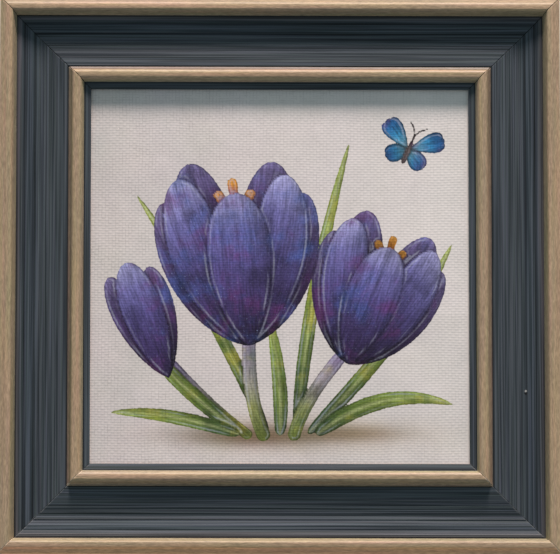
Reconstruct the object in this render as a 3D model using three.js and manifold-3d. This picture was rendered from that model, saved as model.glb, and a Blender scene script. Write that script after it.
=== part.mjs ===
// A small framed picture, hung on a wall.
//
// Four mitred lengths of one wooden moulding (an outer bead, two reeds, a wide sloping panel, an inner
// bead and a bevelled sight lip) hold a canvas-covered board in their rebate. Steel points driven into the
// rebate's wall keep the board in, V-nails driven in from the back hold each mitre, and a saw-tooth plate
// on the top length takes the wall nail. Two soft bumpers keep the lower edge off the wall.
//
// Millimetres. +X is right as the viewer sees it, +Z is up, and the picture faces -Y.
// The origin is on the wall nail: the middle notch of the saw-tooth plate, in the plane of the wall.
// Pieces are first placed round the middle of the sight opening, with y = 0 at the painted face and +y
// towards the wall, and one group then carries them all to the origin.

import * as THREE from "three";
import { mergeVertices } from "three/addons/utils/BufferGeometryUtils.js";
import Module from "manifold-3d";

const wasm = await Module();
wasm.setup();

// ---------------------------------------------------------------- driving dimensions

const SIGHT_SIZE = 92.2; // the square opening that shows the picture
const MOULDING_WIDTH = 22.3; // sight edge to outer edge
const REBATE_WIDTH = 5; // how far the rebate is cut back from the sight edge
const BACK_DEPTH = 10.4; // painted face to the back of the moulding
const SHOULDER_GAP = 0.3; // painted face to the rebate's shoulder
const MITRE_SETBACK = 0.1; // each length stops this far short of the mitre, measured along it

// Heights on the moulding's face are measured forward from the painted face of the canvas.
// Points of the section are [distance out from the sight edge, height].
const LIP_WIDTH = 1.68;
const LIP_EDGE_HEIGHT = 0.95;
const LIP_TOP_HEIGHT = 1.36;
// The inner bead is a tall half round that ends in a small fillet on its outer side.
const INNER_BEAD = [
  [1.75, 1.36],
  [1.9, 1.64],
  [2.08, 2.06],
  [2.32, 2.42],
  [2.6, 2.68],
  [2.9, 2.82],
  [3.35, 2.88],
  [3.8, 2.86],
  [4.1, 2.78],
  [4.4, 2.62],
  [4.66, 2.35],
  [4.9, 1.86],
  [5.04, 1.6],
  [5.5, 1.4],
];
// The panel falls away from the inner bead, more steeply in its outer half.
const PANEL = [
  [5.8, 1.34],
  [9.0, 0.96],
  [12.7, 0.42],
];
// The three grooves beside the reeds, from the panel out.
const REED_GROOVES = [
  [13.8, 0.65],
  [16.2, 1.15],
  [18.1, 1.6],
];
const REED_CROWN = 0.08; // how far a reed's middle stands above the line between its grooves
// The outer bead has a steep inner side, a broad crown and a gentle fall to the outer edge.
const OUTER_BEAD = [
  [18.25, 1.6],
  [18.8, 3.35],
  [19.05, 3.82],
  [19.4, 4.05],
  [19.8, 4.15],
  [20.35, 4.2], // the foremost line of the frame
  [20.8, 4.17],
  [21.1, 4.1],
  [21.45, 3.97],
  [21.9, 3.77],
];
const OUTER_EDGE_HEIGHT = 3.56; // the top of the frame's plain outer side

const PICTURE_SIZE = 100; // the canvas-covered board, square
const CANVAS_THICKNESS = 0.5;
const BOARD_THICKNESS = 3;
const GLUE_GAP = 0.15; // between the board and the canvas on it
const TURNOVER = 12; // canvas turned over on the board's back
const FOLD_SLIT = 0.4; // the open line where two turnovers meet
const LINER_SIZE = 84; // paper pasted over the turnovers' inner edges
const LINER_THICKNESS = 0.3;
const TOUCH = 0.05; // left between two pieces that lie on each other

const POINT_WIDTH = 6;
const POINT_SHEET = 0.5;
const POINT_IN_WOOD = 7;
const POINT_ON_BOARD = 8;
const POINT_TIP = 3; // length of the sharp end
const POINT_SPACING = 46; // between the two points on one side

const V_NAIL_LEG = 4.4;
const V_NAIL_SHEET = 0.5;
const V_NAIL_DEPTH = 7;
const V_NAIL_SUNK = 0.2;
const V_NAIL_PLACES = [10.2, 17.6]; // each nail's corner, measured out from the sight edge

const HANGER_LENGTH = 38;
const HANGER_WIDTH = 8;
const HANGER_SHEET = 0.8;
const HANGER_LIFT = 1.5; // how far the toothed middle stands off the wood
const HANGER_RAISED = 22; // length of the lifted middle
const HANGER_RAMP = 2.4; // length of each slope beside it
const HANGER_RISE = 9.6; // the toothed edge, measured out from the sight edge
const TOOTH_PITCH = 2.2;
const TOOTH_DEPTH = 1.1;
const NOTCH_COUNT = 9;

const TACK_SPREAD = 32; // between the two tacks of the hanger
const TACK_SHANK_RADIUS = 0.6;
const TACK_HEAD_RADIUS = 1.7;
const TACK_HEAD_HEIGHT = 0.9;
const TACK_LENGTH = 8;

const BUMPER_RADIUS = 4;
const BUMPER_HEIGHT = 2.5; // stands a little further off the wood than the hanger does
const BUMPER_SPREAD = 84; // between the two bumpers
const BUMPER_RISE = 13.6; // measured out from the sight edge

const SLOT_CLEARANCE = 0.2; // round steel that is driven into the wood
const CUT_OVERRUN = 1; // how far a cutter runs past the face that it opens
const CURVE_STEPS = 6; // facets along each reed's crown
const ROUND_SIDES = 24; // sides of a small round piece

// ---------------------------------------------------------------- worked-out sizes

const halfSight = SIGHT_SIZE / 2;
const halfPicture = PICTURE_SIZE / 2;
const boardDepth = CANVAS_THICKNESS + GLUE_GAP; // the board's front face
const stackDepth = 2 * boardDepth + BOARD_THICKNESS; // the back of the turned-over canvas
const wallDepth = BACK_DEPTH + TOUCH + BUMPER_HEIGHT;
const notchHeight = halfSight + HANGER_RISE + TOOTH_DEPTH;
const tackHeight = halfSight + HANGER_RISE + HANGER_WIDTH / 2;

// ---------------------------------------------------------------- materials

const finish = (color, roughness, metalness = 0) =>
  new THREE.MeshStandardMaterial({ color, roughness, metalness });
const paintedWood = finish(0x40464f, 0.5);
const paintedCanvas = finish(0xcfc6c1, 0.8);
const fibreboard = finish(0x8a6a48, 0.85);
const linerPaper = finish(0xded9cc, 0.9);
const steel = finish(0xa3a3a0, 0.35, 1);
const brassedSteel = finish(0xb5924f, 0.35, 1);
const blackRubber = finish(0x262626, 0.7);

// ---------------------------------------------------------------- solids

/** A closed geometry as a solid that can be cut. */
function solid(geometry) {
  const bare = geometry.clone();
  bare.deleteAttribute("normal");
  bare.deleteAttribute("uv");
  const merged = mergeVertices(bare, 1e-4);
  const vertProperties = merged.attributes.position.array;
  const triVerts = new Uint32Array(merged.index.array);
  return new wasm.Manifold(new wasm.Mesh({ numProp: 3, vertProperties, triVerts }));
}

/** What is left of a geometry once all the cutters are taken from it. */
function cut(geometry, cutters) {
  const left = cutters.reduce((body, cutter) => body.subtract(solid(cutter)), solid(geometry));
  return surface(left);
}

/** A solid as a geometry. */
function surface(body) {
  const { vertProperties, triVerts } = body.getMesh();
  const geometry = new THREE.BufferGeometry();
  geometry.setAttribute("position", new THREE.BufferAttribute(vertProperties, 3));
  geometry.setIndex(new THREE.BufferAttribute(triVerts, 1));
  geometry.computeVertexNormals();
  return geometry;
}

/** A box from its low and high corners. */
function block(low, high) {
  const size = high.map((v, i) => v - low[i]);
  const centre = high.map((v, i) => (v + low[i]) / 2);
  return new THREE.BoxGeometry(...size).translate(...centre);
}

/** An outline of [x, z] points, made solid from y = near to y = far. */
function plate(outline, near, far) {
  const shape = new THREE.Shape(outline.map(([x, z]) => new THREE.Vector2(x, z)));
  const raised = new THREE.ExtrudeGeometry(shape, { depth: far - near, bevelEnabled: false });
  return raised.rotateX(Math.PI / 2).translate(0, far, 0);
}

/** A round rod along y, from y = near to y = far. */
function rod(radius, x, z, near, far) {
  const length = far - near;
  return new THREE.CylinderGeometry(radius, radius, length, ROUND_SIDES).translate(x, near + length / 2, z);
}

// ---------------------------------------------------------------- assembly

const framedPicture = new THREE.Group();
const pieces = new THREE.Group();
pieces.position.set(0, -wallDepth, -notchHeight);
framedPicture.add(pieces);

/** Adds one named piece, turned about the picture's middle by a number of quarter turns. */
function add(name, geometry, material, quarterTurns = 0) {
  const mesh = new THREE.Mesh(geometry, material);
  mesh.name = name;
  mesh.rotation.y = (quarterTurns * Math.PI) / 2;
  pieces.add(mesh);
}

// The four sides, each modelled as the top one and turned clockwise, as the viewer sees it, into its place.
const sides = ["top", "right", "bottom", "left"];

// ---------------------------------------------------------------- the moulding

/** The moulding's section: x is measured out from the sight edge, y forward from the painted face. */
function mouldingSection() {
  const section = new THREE.Shape();
  const lineThrough = (points) => points.forEach(([x, y]) => section.lineTo(x, y));

  /** A reed: an arched stretch between two grooves, standing above the straight line by its crown. */
  const reed = ([fromX, fromY], [x, y]) =>
    section.quadraticCurveTo((fromX + x) / 2, (fromY + y) / 2 + 2 * REED_CROWN, x, y);

  const [panelSide, between, beadSide] = REED_GROOVES;
  section.moveTo(0, SHOULDER_GAP);
  section.lineTo(0, LIP_EDGE_HEIGHT);
  section.lineTo(LIP_WIDTH, LIP_TOP_HEIGHT);
  lineThrough(INNER_BEAD);
  lineThrough(PANEL);
  section.lineTo(...panelSide);
  reed(panelSide, between);
  reed(between, beadSide);
  lineThrough(OUTER_BEAD);
  section.lineTo(MOULDING_WIDTH, OUTER_EDGE_HEIGHT);
  section.lineTo(MOULDING_WIDTH, -BACK_DEPTH);
  section.lineTo(REBATE_WIDTH, -BACK_DEPTH);
  section.lineTo(REBATE_WIDTH, SHOULDER_GAP);
  return section;
}

/** One plain length of moulding for the top side, mitred at both ends. */
function mitredLength() {
  const geometry = new THREE.ExtrudeGeometry(mouldingSection(), {
    depth: 1,
    bevelEnabled: false,
    curveSegments: CURVE_STEPS,
  });
  const position = geometry.attributes.position;
  for (let i = 0; i < position.count; i += 1) {
    const out = position.getX(i);
    const forward = position.getY(i);
    const end = position.getZ(i) > 0.5 ? 1 : -1;
    position.setXYZ(i, end * (halfSight + out - MITRE_SETBACK), -forward, halfSight + out);
  }
  return geometry;
}

// ---------------------------------------------------------------- V-nails

/** A V-nail's L-shaped outline, its corner on the mitre at the given distance out, grown by a margin. */
function vNailOutline(hand, out, margin) {
  const tip = out - V_NAIL_LEG - margin;
  const inner = out - V_NAIL_SHEET - margin;
  const outer = out + margin;
  const corners = [
    [outer, outer],
    [tip, outer],
    [tip, inner],
    [inner, inner],
    [inner, tip],
    [outer, tip],
  ];
  return corners.map(([x, z]) => [hand * (halfSight + x), halfSight + z]);
}

const vNailFront = BACK_DEPTH - V_NAIL_SUNK - V_NAIL_DEPTH;

/** The slots that the V-nails at both ends of one length need. */
function vNailSlots() {
  return [-1, 1].flatMap((hand) =>
    V_NAIL_PLACES.map((out) => {
      const outline = vNailOutline(hand, out, SLOT_CLEARANCE);
      return plate(outline, vNailFront - SLOT_CLEARANCE, BACK_DEPTH + CUT_OVERRUN);
    }),
  );
}

// ---------------------------------------------------------------- points

const pointFront = stackDepth + TOUCH;
const pointPlaces = [-POINT_SPACING / 2, POINT_SPACING / 2];
const rebateWall = halfSight + REBATE_WIDTH;

/** One flat steel point for the top side, its sharp end in the wood. */
function point(x) {
  const half = POINT_WIDTH / 2;
  const outline = [
    [x - half, rebateWall - POINT_ON_BOARD],
    [x + half, rebateWall - POINT_ON_BOARD],
    [x + half, rebateWall + POINT_IN_WOOD - POINT_TIP],
    [x, rebateWall + POINT_IN_WOOD],
    [x - half, rebateWall + POINT_IN_WOOD - POINT_TIP],
  ];
  return plate(outline, pointFront, pointFront + POINT_SHEET);
}

/** The slots that the points on one side need. */
function pointSlots() {
  const half = POINT_WIDTH / 2 + SLOT_CLEARANCE;
  const near = pointFront - SLOT_CLEARANCE;
  const far = pointFront + POINT_SHEET + SLOT_CLEARANCE;
  return pointPlaces.map((x) =>
    block(
      [x - half, near, rebateWall - CUT_OVERRUN],
      [x + half, far, rebateWall + POINT_IN_WOOD + SLOT_CLEARANCE],
    ),
  );
}

// ---------------------------------------------------------------- hanger

const tackPlaces = [-TACK_SPREAD / 2, TACK_SPREAD / 2];
const tackBearing = BACK_DEPTH + TOUCH + HANGER_SHEET + TOUCH; // under a tack's head
const tackEnd = tackBearing - TACK_LENGTH;

/** The toothed lower edge of the hanger, from left to right. */
function toothedEdge(base) {
  const points = [];
  const first = -((NOTCH_COUNT - 1) / 2) * TOOTH_PITCH;
  for (let i = 0; i < NOTCH_COUNT; i += 1) {
    const x = first + i * TOOTH_PITCH;
    points.push([x - TOOTH_PITCH / 2, base], [x, base + TOOTH_DEPTH]);
  }
  points.push([first + (NOTCH_COUNT - 0.5) * TOOTH_PITCH, base]);
  return points;
}

/** The saw-tooth plate: a strip bent to stand off the wood in its middle, with teeth along its lower edge. */
function hanger() {
  const low = halfSight + HANGER_RISE;
  const high = low + HANGER_WIDTH;
  const half = HANGER_LENGTH / 2;
  const rampFoot = HANGER_RAISED / 2 + HANGER_RAMP;
  const rampTop = HANGER_RAISED / 2;
  const near = BACK_DEPTH + TOUCH;
  const bend = [
    [-half, near],
    [-rampFoot, near],
    [-rampTop, near + HANGER_LIFT],
    [rampTop, near + HANGER_LIFT],
    [rampFoot, near],
    [half, near],
    [half, near + HANGER_SHEET],
    [rampFoot, near + HANGER_SHEET],
    [rampTop, near + HANGER_LIFT + HANGER_SHEET],
    [-rampTop, near + HANGER_LIFT + HANGER_SHEET],
    [-rampFoot, near + HANGER_SHEET],
    [-half, near + HANGER_SHEET],
  ];
  const shape = new THREE.Shape(bend.map(([x, y]) => new THREE.Vector2(x, y)));
  const depth = high - low + 2 * CUT_OVERRUN;
  const strip = new THREE.ExtrudeGeometry(shape, { depth, bevelEnabled: false });
  strip.translate(0, 0, low - CUT_OVERRUN);
  const face = [[-half, low], ...toothedEdge(low), [half, low], [half, high], [-half, high]];
  const outline = plate(face, BACK_DEPTH - CUT_OVERRUN, wallDepth + CUT_OVERRUN);
  const toothed = surface(solid(strip).intersect(solid(outline)));
  const holeRadius = TACK_SHANK_RADIUS + SLOT_CLEARANCE;
  return cut(
    toothed,
    tackPlaces.map((x) => rod(holeRadius, x, tackHeight, BACK_DEPTH - CUT_OVERRUN, wallDepth)),
  );
}

/** A tack, turned about its own axis: a sharp shank under a domed head. */
function tack(x) {
  const outline = new THREE.Path();
  outline.moveTo(0, -TACK_LENGTH);
  outline.lineTo(TACK_SHANK_RADIUS, -TACK_LENGTH + 2 * TACK_SHANK_RADIUS);
  outline.lineTo(TACK_SHANK_RADIUS, 0);
  outline.lineTo(TACK_HEAD_RADIUS, 0);
  outline.absellipse(0, 0, TACK_HEAD_RADIUS, TACK_HEAD_HEIGHT, 0, Math.PI / 2);
  return new THREE.LatheGeometry(outline.getPoints(6), ROUND_SIDES).translate(x, tackBearing, tackHeight);
}

/** The pilot holes of the hanger's tacks, in the top length. */
function tackHoles() {
  const radius = TACK_SHANK_RADIUS + SLOT_CLEARANCE;
  return tackPlaces.map((x) =>
    rod(radius, x, tackHeight, tackEnd - SLOT_CLEARANCE, BACK_DEPTH + CUT_OVERRUN),
  );
}

// ---------------------------------------------------------------- the picture

/** The canvas: one skin over the board's face and edges, turned over on its back. */
function canvas() {
  const pocket = halfPicture - CANVAS_THICKNESS;
  const window = halfPicture - TURNOVER;
  const skin = block([-halfPicture, 0, -halfPicture], [halfPicture, stackDepth, halfPicture]);
  const hollow = block(
    [-pocket, CANVAS_THICKNESS, -pocket],
    [pocket, stackDepth - CANVAS_THICKNESS, pocket],
  );
  const opening = block(
    [-window, CANVAS_THICKNESS * 2, -window],
    [window, stackDepth + CUT_OVERRUN, window],
  );
  const foldStart = window - FOLD_SLIT;
  const foldEnd = pocket - FOLD_SLIT;
  const folds = [0, 1, 2, 3].map((quarterTurns) =>
    plate(
      [
        [foldStart, foldStart + FOLD_SLIT / 2],
        [foldStart + FOLD_SLIT / 2, foldStart],
        [foldEnd + FOLD_SLIT / 2, foldEnd],
        [foldEnd, foldEnd + FOLD_SLIT / 2],
      ],
      stackDepth - CANVAS_THICKNESS - GLUE_GAP / 2,
      stackDepth + CUT_OVERRUN,
    ).rotateY((quarterTurns * Math.PI) / 2),
  );
  return cut(skin, [hollow, opening, ...folds]);
}

/** The board inside the canvas. */
function board() {
  const half = halfPicture - boardDepth;
  return block([-half, boardDepth, -half], [half, boardDepth + BOARD_THICKNESS, half]);
}

/** The paper pasted over the back of the board. */
function liner() {
  const half = LINER_SIZE / 2;
  const near = stackDepth + TOUCH;
  return block([-half, near, -half], [half, near + LINER_THICKNESS, half]);
}

/** A soft round bumper on the back of the bottom length. */
function bumper(x) {
  const near = BACK_DEPTH + TOUCH;
  return rod(BUMPER_RADIUS, x, -halfSight - BUMPER_RISE, near, near + BUMPER_HEIGHT);
}

// ---------------------------------------------------------------- build

sides.forEach((side, turns) => {
  const holes = side === "top" ? tackHoles() : [];
  const length = cut(mitredLength(), [...vNailSlots(), ...pointSlots(), ...holes]);
  add(`rail_${side}`, length, paintedWood, turns);
  pointPlaces.forEach((x, i) => add(`point_${side}_${i + 1}`, point(x), steel, turns));
  // Each side carries the V-nails at its clockwise end.
  V_NAIL_PLACES.forEach((out, i) => {
    const nail = plate(vNailOutline(1, out, 0), vNailFront, BACK_DEPTH - V_NAIL_SUNK);
    add(`v_nail_${side}_${i + 1}`, nail, steel, turns);
  });
});

add("canvas", canvas(), paintedCanvas);
add("board", board(), fibreboard);
add("liner", liner(), linerPaper);
add("hanger", hanger(), brassedSteel);
tackPlaces.forEach((x, i) => add(`tack_${i + 1}`, tack(x), brassedSteel));
[-1, 1].forEach((hand, i) => add(`bumper_${i + 1}`, bumper((hand * BUMPER_SPREAD) / 2), blackRubber));

export default framedPicture;
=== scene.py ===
"""Finishes a small framed picture: the moulding, the painted canvas and the fittings at its back.

Lengths are metres in the part's own frame: +X right, +Z up, the picture facing -Y and the wall at y = 0.
Sizes that a maker would quote in millimetres are named constants multiplied by MM, and a list of
points in millimetres says so.
"""

import math

import bmesh
import bpy
import numpy as np
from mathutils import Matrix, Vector


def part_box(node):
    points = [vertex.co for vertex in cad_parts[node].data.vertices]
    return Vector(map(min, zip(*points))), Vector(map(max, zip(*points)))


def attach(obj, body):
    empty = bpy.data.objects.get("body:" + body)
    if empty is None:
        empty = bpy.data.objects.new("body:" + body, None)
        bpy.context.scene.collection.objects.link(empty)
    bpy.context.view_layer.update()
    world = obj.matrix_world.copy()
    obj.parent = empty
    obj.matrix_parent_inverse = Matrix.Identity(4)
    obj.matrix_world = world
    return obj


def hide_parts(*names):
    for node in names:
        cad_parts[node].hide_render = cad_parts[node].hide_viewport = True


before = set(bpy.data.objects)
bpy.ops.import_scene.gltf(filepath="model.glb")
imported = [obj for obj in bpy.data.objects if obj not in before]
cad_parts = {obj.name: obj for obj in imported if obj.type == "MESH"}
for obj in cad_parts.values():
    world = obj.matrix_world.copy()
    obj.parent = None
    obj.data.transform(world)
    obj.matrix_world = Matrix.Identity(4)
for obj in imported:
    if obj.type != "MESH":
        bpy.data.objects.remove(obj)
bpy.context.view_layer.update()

bl_info = {
    "name": "Framed Picture",
    "version": (1, 0, 0),
    "blender": (4, 5, 0),
    "location": "View3D > Sidebar > Picture",
    "description": "A small framed picture on canvas, with its fittings",
    "category": "Add Mesh",
}

MM = 0.001
NOISE_LOW, NOISE_HIGH = 0.3, 0.7

# ------------------------------------------------------------------ where things are

CANVAS_LOW, CANVAS_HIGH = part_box("canvas")
MIDDLE_X = (CANVAS_LOW.x + CANVAS_HIGH.x) / 2
MIDDLE_Z = (CANVAS_LOW.z + CANVAS_HIGH.z) / 2
FACE_Y = CANVAS_LOW.y
MIDDLE = np.array([MIDDLE_X, FACE_Y, MIDDLE_Z])
HALF_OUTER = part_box("rail_right")[1].x - MIDDLE_X
MOULDING_WIDTH = 22.3 * MM
HALF_SIGHT = HALF_OUTER - MOULDING_WIDTH
SIDES = ("top", "right", "bottom", "left")

# ------------------------------------------------------------------ the moulding's section
# Distances out from the sight edge, and heights forward of the painted face. The lists of points are
# in millimetres.

SLATE, GILDING, WOOD = range(3)
REBATE_WIDTH = 5 * MM
SHOULDER = 0.3 * MM
BACK_DEPTH = 10.4 * MM
BACK_EASE = 0.4 * MM
SIGHT_EASE = 0.1 * MM
LIP = ((0.05, 0.95), (1.52, 1.35))
LIP_CREASE = ((1.56, 1.23), (1.68, 1.35))
INNER_BEAD = ((1.75, 1.36), (1.9, 1.65), (2.08, 2.07), (2.31, 2.43), (2.58, 2.71), (2.87, 2.84), (3.2, 2.875),
              (3.85, 2.88), (4.12, 2.82), (4.4, 2.66), (4.66, 2.36), (4.9, 1.86), (5.04, 1.6), (5.5, 1.4))
BEAD_CREASE = ((5.54, 1.18), (5.7, 1.28))
PANEL = ((5.8, 1.34), (9.0, 0.96), (12.7, 0.42))
OUTER_BEAD = ((18.25, 1.6), (18.62, 2.6), (18.93, 3.36), (19.18, 3.86), (19.40, 4.10), (19.6, 4.15),
              (20.2, 4.17), (20.6, 4.14), (20.85, 4.05), (21.1, 3.91), (21.5, 3.80), (22.3, 3.56))
BEAD_ROUNDING = 0.18 * MM
PANEL_ROUNDING = 1.2 * MM
LIP_WIDTH = LIP_CREASE[-1][0] * MM
INNER_BEAD_OUTER = INNER_BEAD[-1][0] * MM
PANEL_END, PANEL_OUTER_HEIGHT = PANEL[-1][0] * MM, PANEL[-1][1] * MM
OUTER_EDGE = OUTER_BEAD[-1][1] * MM
BELL_REACH, BELL_SAMPLES = 2.5, 41
REED_FOOT = 13.8 * MM
REED_MEETING = 16.2 * MM
BEAD_FOOT = 18.1 * MM
REED_GROOVES = (0.65 * MM, 1.15 * MM, 1.65 * MM)
REED_CROWN = 0.08 * MM
GROOVE_WIDTH = 0.36 * MM
GROOVE_DEPTH = 0.05 * MM

# ------------------------------------------------------------------ the lengths and their mitres
# The mitre at each end of a length, as it lies when the length is turned to be the top one. A mitre
# is named for the top or the bottom of the frame.

END_MITRES = {"top": ("top", "top"), "right": ("top", "bottom"), "bottom": ("bottom", "bottom"),
              "left": ("bottom", "top")}
MITRE_GAP = {"top": 0.08 * MM, "bottom": 0.025 * MM}
MITRE_GAP_AT_BACK = 0.03
MITRE_WEAR = {"top": 0.35, "bottom": 1.0}
MITRE_WEAR_WIDTH = 0.3 * MM
MITRE_EASE = 0.07 * MM
MITRE_EASE_WIDTH = 0.15 * MM
STATIONS_AT_MITRE = np.array([0, 0.04, 0.1, 0.2, 0.5, 1.2, 2.5]) * MM
STATIONS_BETWEEN = np.linspace(-1, 1, 49)[1:-1]
BETWEEN_FROM = 3.5 * MM
RIDGES = 130
RIDGE_SEED = 10
GILDED_RIDGES = 0.25
COMBED_ABOVE = SHOULDER + 0.2 * MM
# Painted shade in the grooves of the reeds on each length, weak on the bottom one where light from above
# falls into them.
GROOVE_SHADE_BY_SIDE = {"top": 1.2, "right": 1.2, "bottom": 0.15, "left": 1.2}
# How much more the gilding that faces up is darkened, and how much less the gilding that faces down, which
# stands for painted light from below.
TONE_BY_FACING = 0.6
SIDE_TONING = 0.5
SIDE_TONED_OVER = 3 * MM
MOST_TONED = 1.2
UPWARD = {"top": 1, "right": 0, "bottom": -1, "left": 0}
RUN_APART = 0.5
CHIP_ALONG, CHIP_OUT = RUN_APART + 28.2 * MM, 13.66 * MM

# ------------------------------------------------------------------ the steel in the wood

SLOT_CLEARANCE = 0.2 * MM
V_NAIL_PLACES = (10.2 * MM, 17.6 * MM)
V_NAIL_LEG = 4.4 * MM
V_NAIL_SHEET = 0.5 * MM
V_NAIL_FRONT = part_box("v_nail_top_1")[0].y - FACE_Y
POINT_SPACING = 46 * MM
POINT_WIDTH = 6 * MM
POINT_IN_WOOD = 7 * MM
POINT_SHEET = 0.5 * MM
POINT_IN_REBATE = 1 * MM
POINT_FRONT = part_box("point_top_1")[0].y - FACE_Y
TACK_LOW, TACK_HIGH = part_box("tack_2")
TACK_X = (TACK_LOW.x + TACK_HIGH.x) / 2 - MIDDLE_X
TACK_Z = (TACK_LOW.z + TACK_HIGH.z) / 2 - MIDDLE_Z
TACK_END = TACK_LOW.y - FACE_Y
TACK_HOLE = 0.8 * MM
TACK_HOLE_SIDES = 16
PAST_THE_BACK = 1 * MM

# ------------------------------------------------------------------ edges of the pieces

SHARP_ANGLE = math.radians(50)
COPY_SHARP_ANGLE = math.radians(38)
ROUNDED_ANGLE = math.radians(25)
FLAT_ANGLE = math.radians(1)
SAME_POINT = 0.005 * MM
ROUNDING_STEPS = 3
LINER_ROUNDING = 0.1 * MM
HANGER_ROUNDING = 0.14 * MM
POINT_ROUNDING = 0.1 * MM
V_NAIL_ROUNDING = 0.07 * MM
TACK_SIDES, BUMPER_SIDES = 32, 48

# ------------------------------------------------------------------ the canvas

HALF_PICTURE = CANVAS_HIGH.x - MIDDLE_X
CANVAS_DEPTH = CANVAS_HIGH.y - CANVAS_LOW.y
CANVAS_THICKNESS = 0.5 * MM
TURNOVER = 12 * MM
EDGE_ROUND = 0.4 * MM
CORNER_FOLD = 0.22 * MM
FLAP_BEND = 4 * MM
FLAP_EDGE = 0.3 * MM
FLAP_DROP = 0.1 * MM
FLAT_OF_BACK = 0.05 * MM
CANVAS_COLUMNS = 272
NEAR_CORNER = 1.999
THREAD_WANDER = 0.7 * MM
DASHES, GAPS_APART = 750.0, 7.31

# ------------------------------------------------------------------ finishes, as linear colours

OUTER_REED_SLATE = (0.079, 0.081, 0.089)
SLATE_UNDERCOAT = (0.16, 0.17, 0.18)
# The chip's painted shadow, just below it, and its pale ground.
CHIP_SHADOW = (0.012, 0.013, 0.015)
CHIP_GROUND = (0.42, 0.43, 0.42)
# Brown toning on the inner bead's outer side: partly dirt and partly painted shade at its foot.
BROWN_GRIME_AND_SHADE = (0.13, 0.10, 0.078)
WORN_GILDING = (0.68, 0.56, 0.42)
LATE_WOOD = (0.40, 0.225, 0.11)
WOOD_PORE = (0.20, 0.115, 0.06)
RAW_CLOTH = (0.62, 0.56, 0.46)
CLOTH_GAP = (0.40, 0.34, 0.26)
DARK_STEEL, LIGHT_STEEL, RUST = (0.33, 0.335, 0.34), (0.47, 0.47, 0.465), (0.19, 0.085, 0.04)
DARK_BRASS, LIGHT_BRASS, TARNISH = (0.70, 0.47, 0.17), (0.80, 0.60, 0.28), (0.24, 0.14, 0.055)
FOXING = (0.42, 0.27, 0.13)
BLACK_RUBBER = (0.028, 0.027, 0.026)

# ------------------------------------------------------------------ lines and sections


def line(start, end, count):
    """Points evenly spaced on the straight line from start to end, without the end."""
    share = np.linspace(0, 1, count, endpoint=False)[:, None]
    return np.array(start) + share * (np.array(end) - np.array(start))


def arched(start, end, rise, count):
    """A parabola from start to end: the straight line, raised by rise x 4 x share x (1 - share)."""
    points = line(start, end, count)
    share = np.linspace(0, 1, count, endpoint=False)
    points[:, 1] += rise * 4 * share * (1 - share)
    return points


def eased(corners, rounding, count):
    """A line through corners, in millimetres, with each corner made round.

    Each point is the average of the straight-sided line about it, weighted by a bell curve of the
    distance along the line; the two ends are held by carrying the line straight on past them.
    """
    corners = np.array(corners) * MM
    first, last = 2 * corners[0] - corners[1], 2 * corners[-1] - corners[-2]
    through = np.concatenate([[first], corners, [last]])
    at = np.concatenate([[0], np.cumsum(np.linalg.norm(np.diff(through, axis=0), axis=1))])
    place = np.linspace(at[1], at[-2], count)
    offset = np.linspace(-BELL_REACH, BELL_REACH, BELL_SAMPLES) * rounding
    weight = np.exp(-(offset / rounding) ** 2)
    sample = np.clip(place[:, None] + offset[None, :], at[0], at[-1])
    points = np.stack([np.interp(sample, at, through[:, i]) for i in (0, 1)], axis=-1)
    points = (points * weight[None, :, None]).sum(axis=1) / weight.sum()
    points[0], points[-1] = corners[0], corners[-1]
    return points


def groove(at, height, count):
    """A small round-bottomed groove: a parabola GROOVE_WIDTH wide that dips GROOVE_DEPTH."""
    half = GROOVE_WIDTH / 2
    return arched((at - half, height), (at + half, height), -GROOVE_DEPTH, count)


def moulding_section():
    """The closed outline of the moulding as (out, height) points, and each point's finish.

    The outline runs from the rebate's shoulder over the front to the back.
    """
    half = GROOVE_WIDTH / 2
    lip, lip_crease, bead_crease = (np.array(points) * MM for points in (LIP, LIP_CREASE, BEAD_CREASE))
    foot, meeting, bead_foot = REED_GROOVES
    side_front, side_back = OUTER_EDGE - 0.75 * BACK_EASE, 1.25 * BACK_EASE - BACK_DEPTH
    parts = [
        (WOOD, line((REBATE_WIDTH, SHOULDER), (SIGHT_EASE, SHOULDER), 8)),
        (SLATE, line((0, SHOULDER + 0.8 * SIGHT_EASE), (0, lip[0, 1] - SIGHT_EASE), 5)),
        (SLATE, line(*lip, 20)),
        (SLATE, line(*lip_crease, 2)),
        (GILDING, eased(INNER_BEAD, BEAD_ROUNDING, 64)),
        (SLATE, line(*bead_crease, 2)),
        (SLATE, eased(PANEL, PANEL_ROUNDING, 128)[:-1]),
        (SLATE, line((PANEL_END, PANEL_OUTER_HEIGHT), (REED_FOOT - half, foot), 14)),
        (SLATE, groove(REED_FOOT, foot, 8)),
        (SLATE, arched((REED_FOOT + half, foot), (REED_MEETING - half, meeting), REED_CROWN, 34)),
        (SLATE, groove(REED_MEETING, meeting, 8)),
        (SLATE, arched((REED_MEETING + half, meeting), (BEAD_FOOT - half, bead_foot), REED_CROWN, 28)),
        (SLATE, groove(BEAD_FOOT, bead_foot, 6)),
        (GILDING, eased(OUTER_BEAD, BEAD_ROUNDING, 66)),
        (GILDING, line((MOULDING_WIDTH, side_front), (MOULDING_WIDTH, side_back), 16)),
        (WOOD, line((MOULDING_WIDTH, BACK_EASE - BACK_DEPTH),
                    (MOULDING_WIDTH - 0.75 * BACK_EASE, -BACK_DEPTH), 3)),
        (WOOD, line((MOULDING_WIDTH - BACK_EASE, -BACK_DEPTH), (REBATE_WIDTH, -BACK_DEPTH), 24)),
        (WOOD, line((REBATE_WIDTH, -BACK_DEPTH), (REBATE_WIDTH, SHOULDER), 10)),
    ]
    outline = np.concatenate([points for _, points in parts])
    finish = np.concatenate([np.full(len(points), kind) for kind, points in parts])
    return outline, finish


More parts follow.
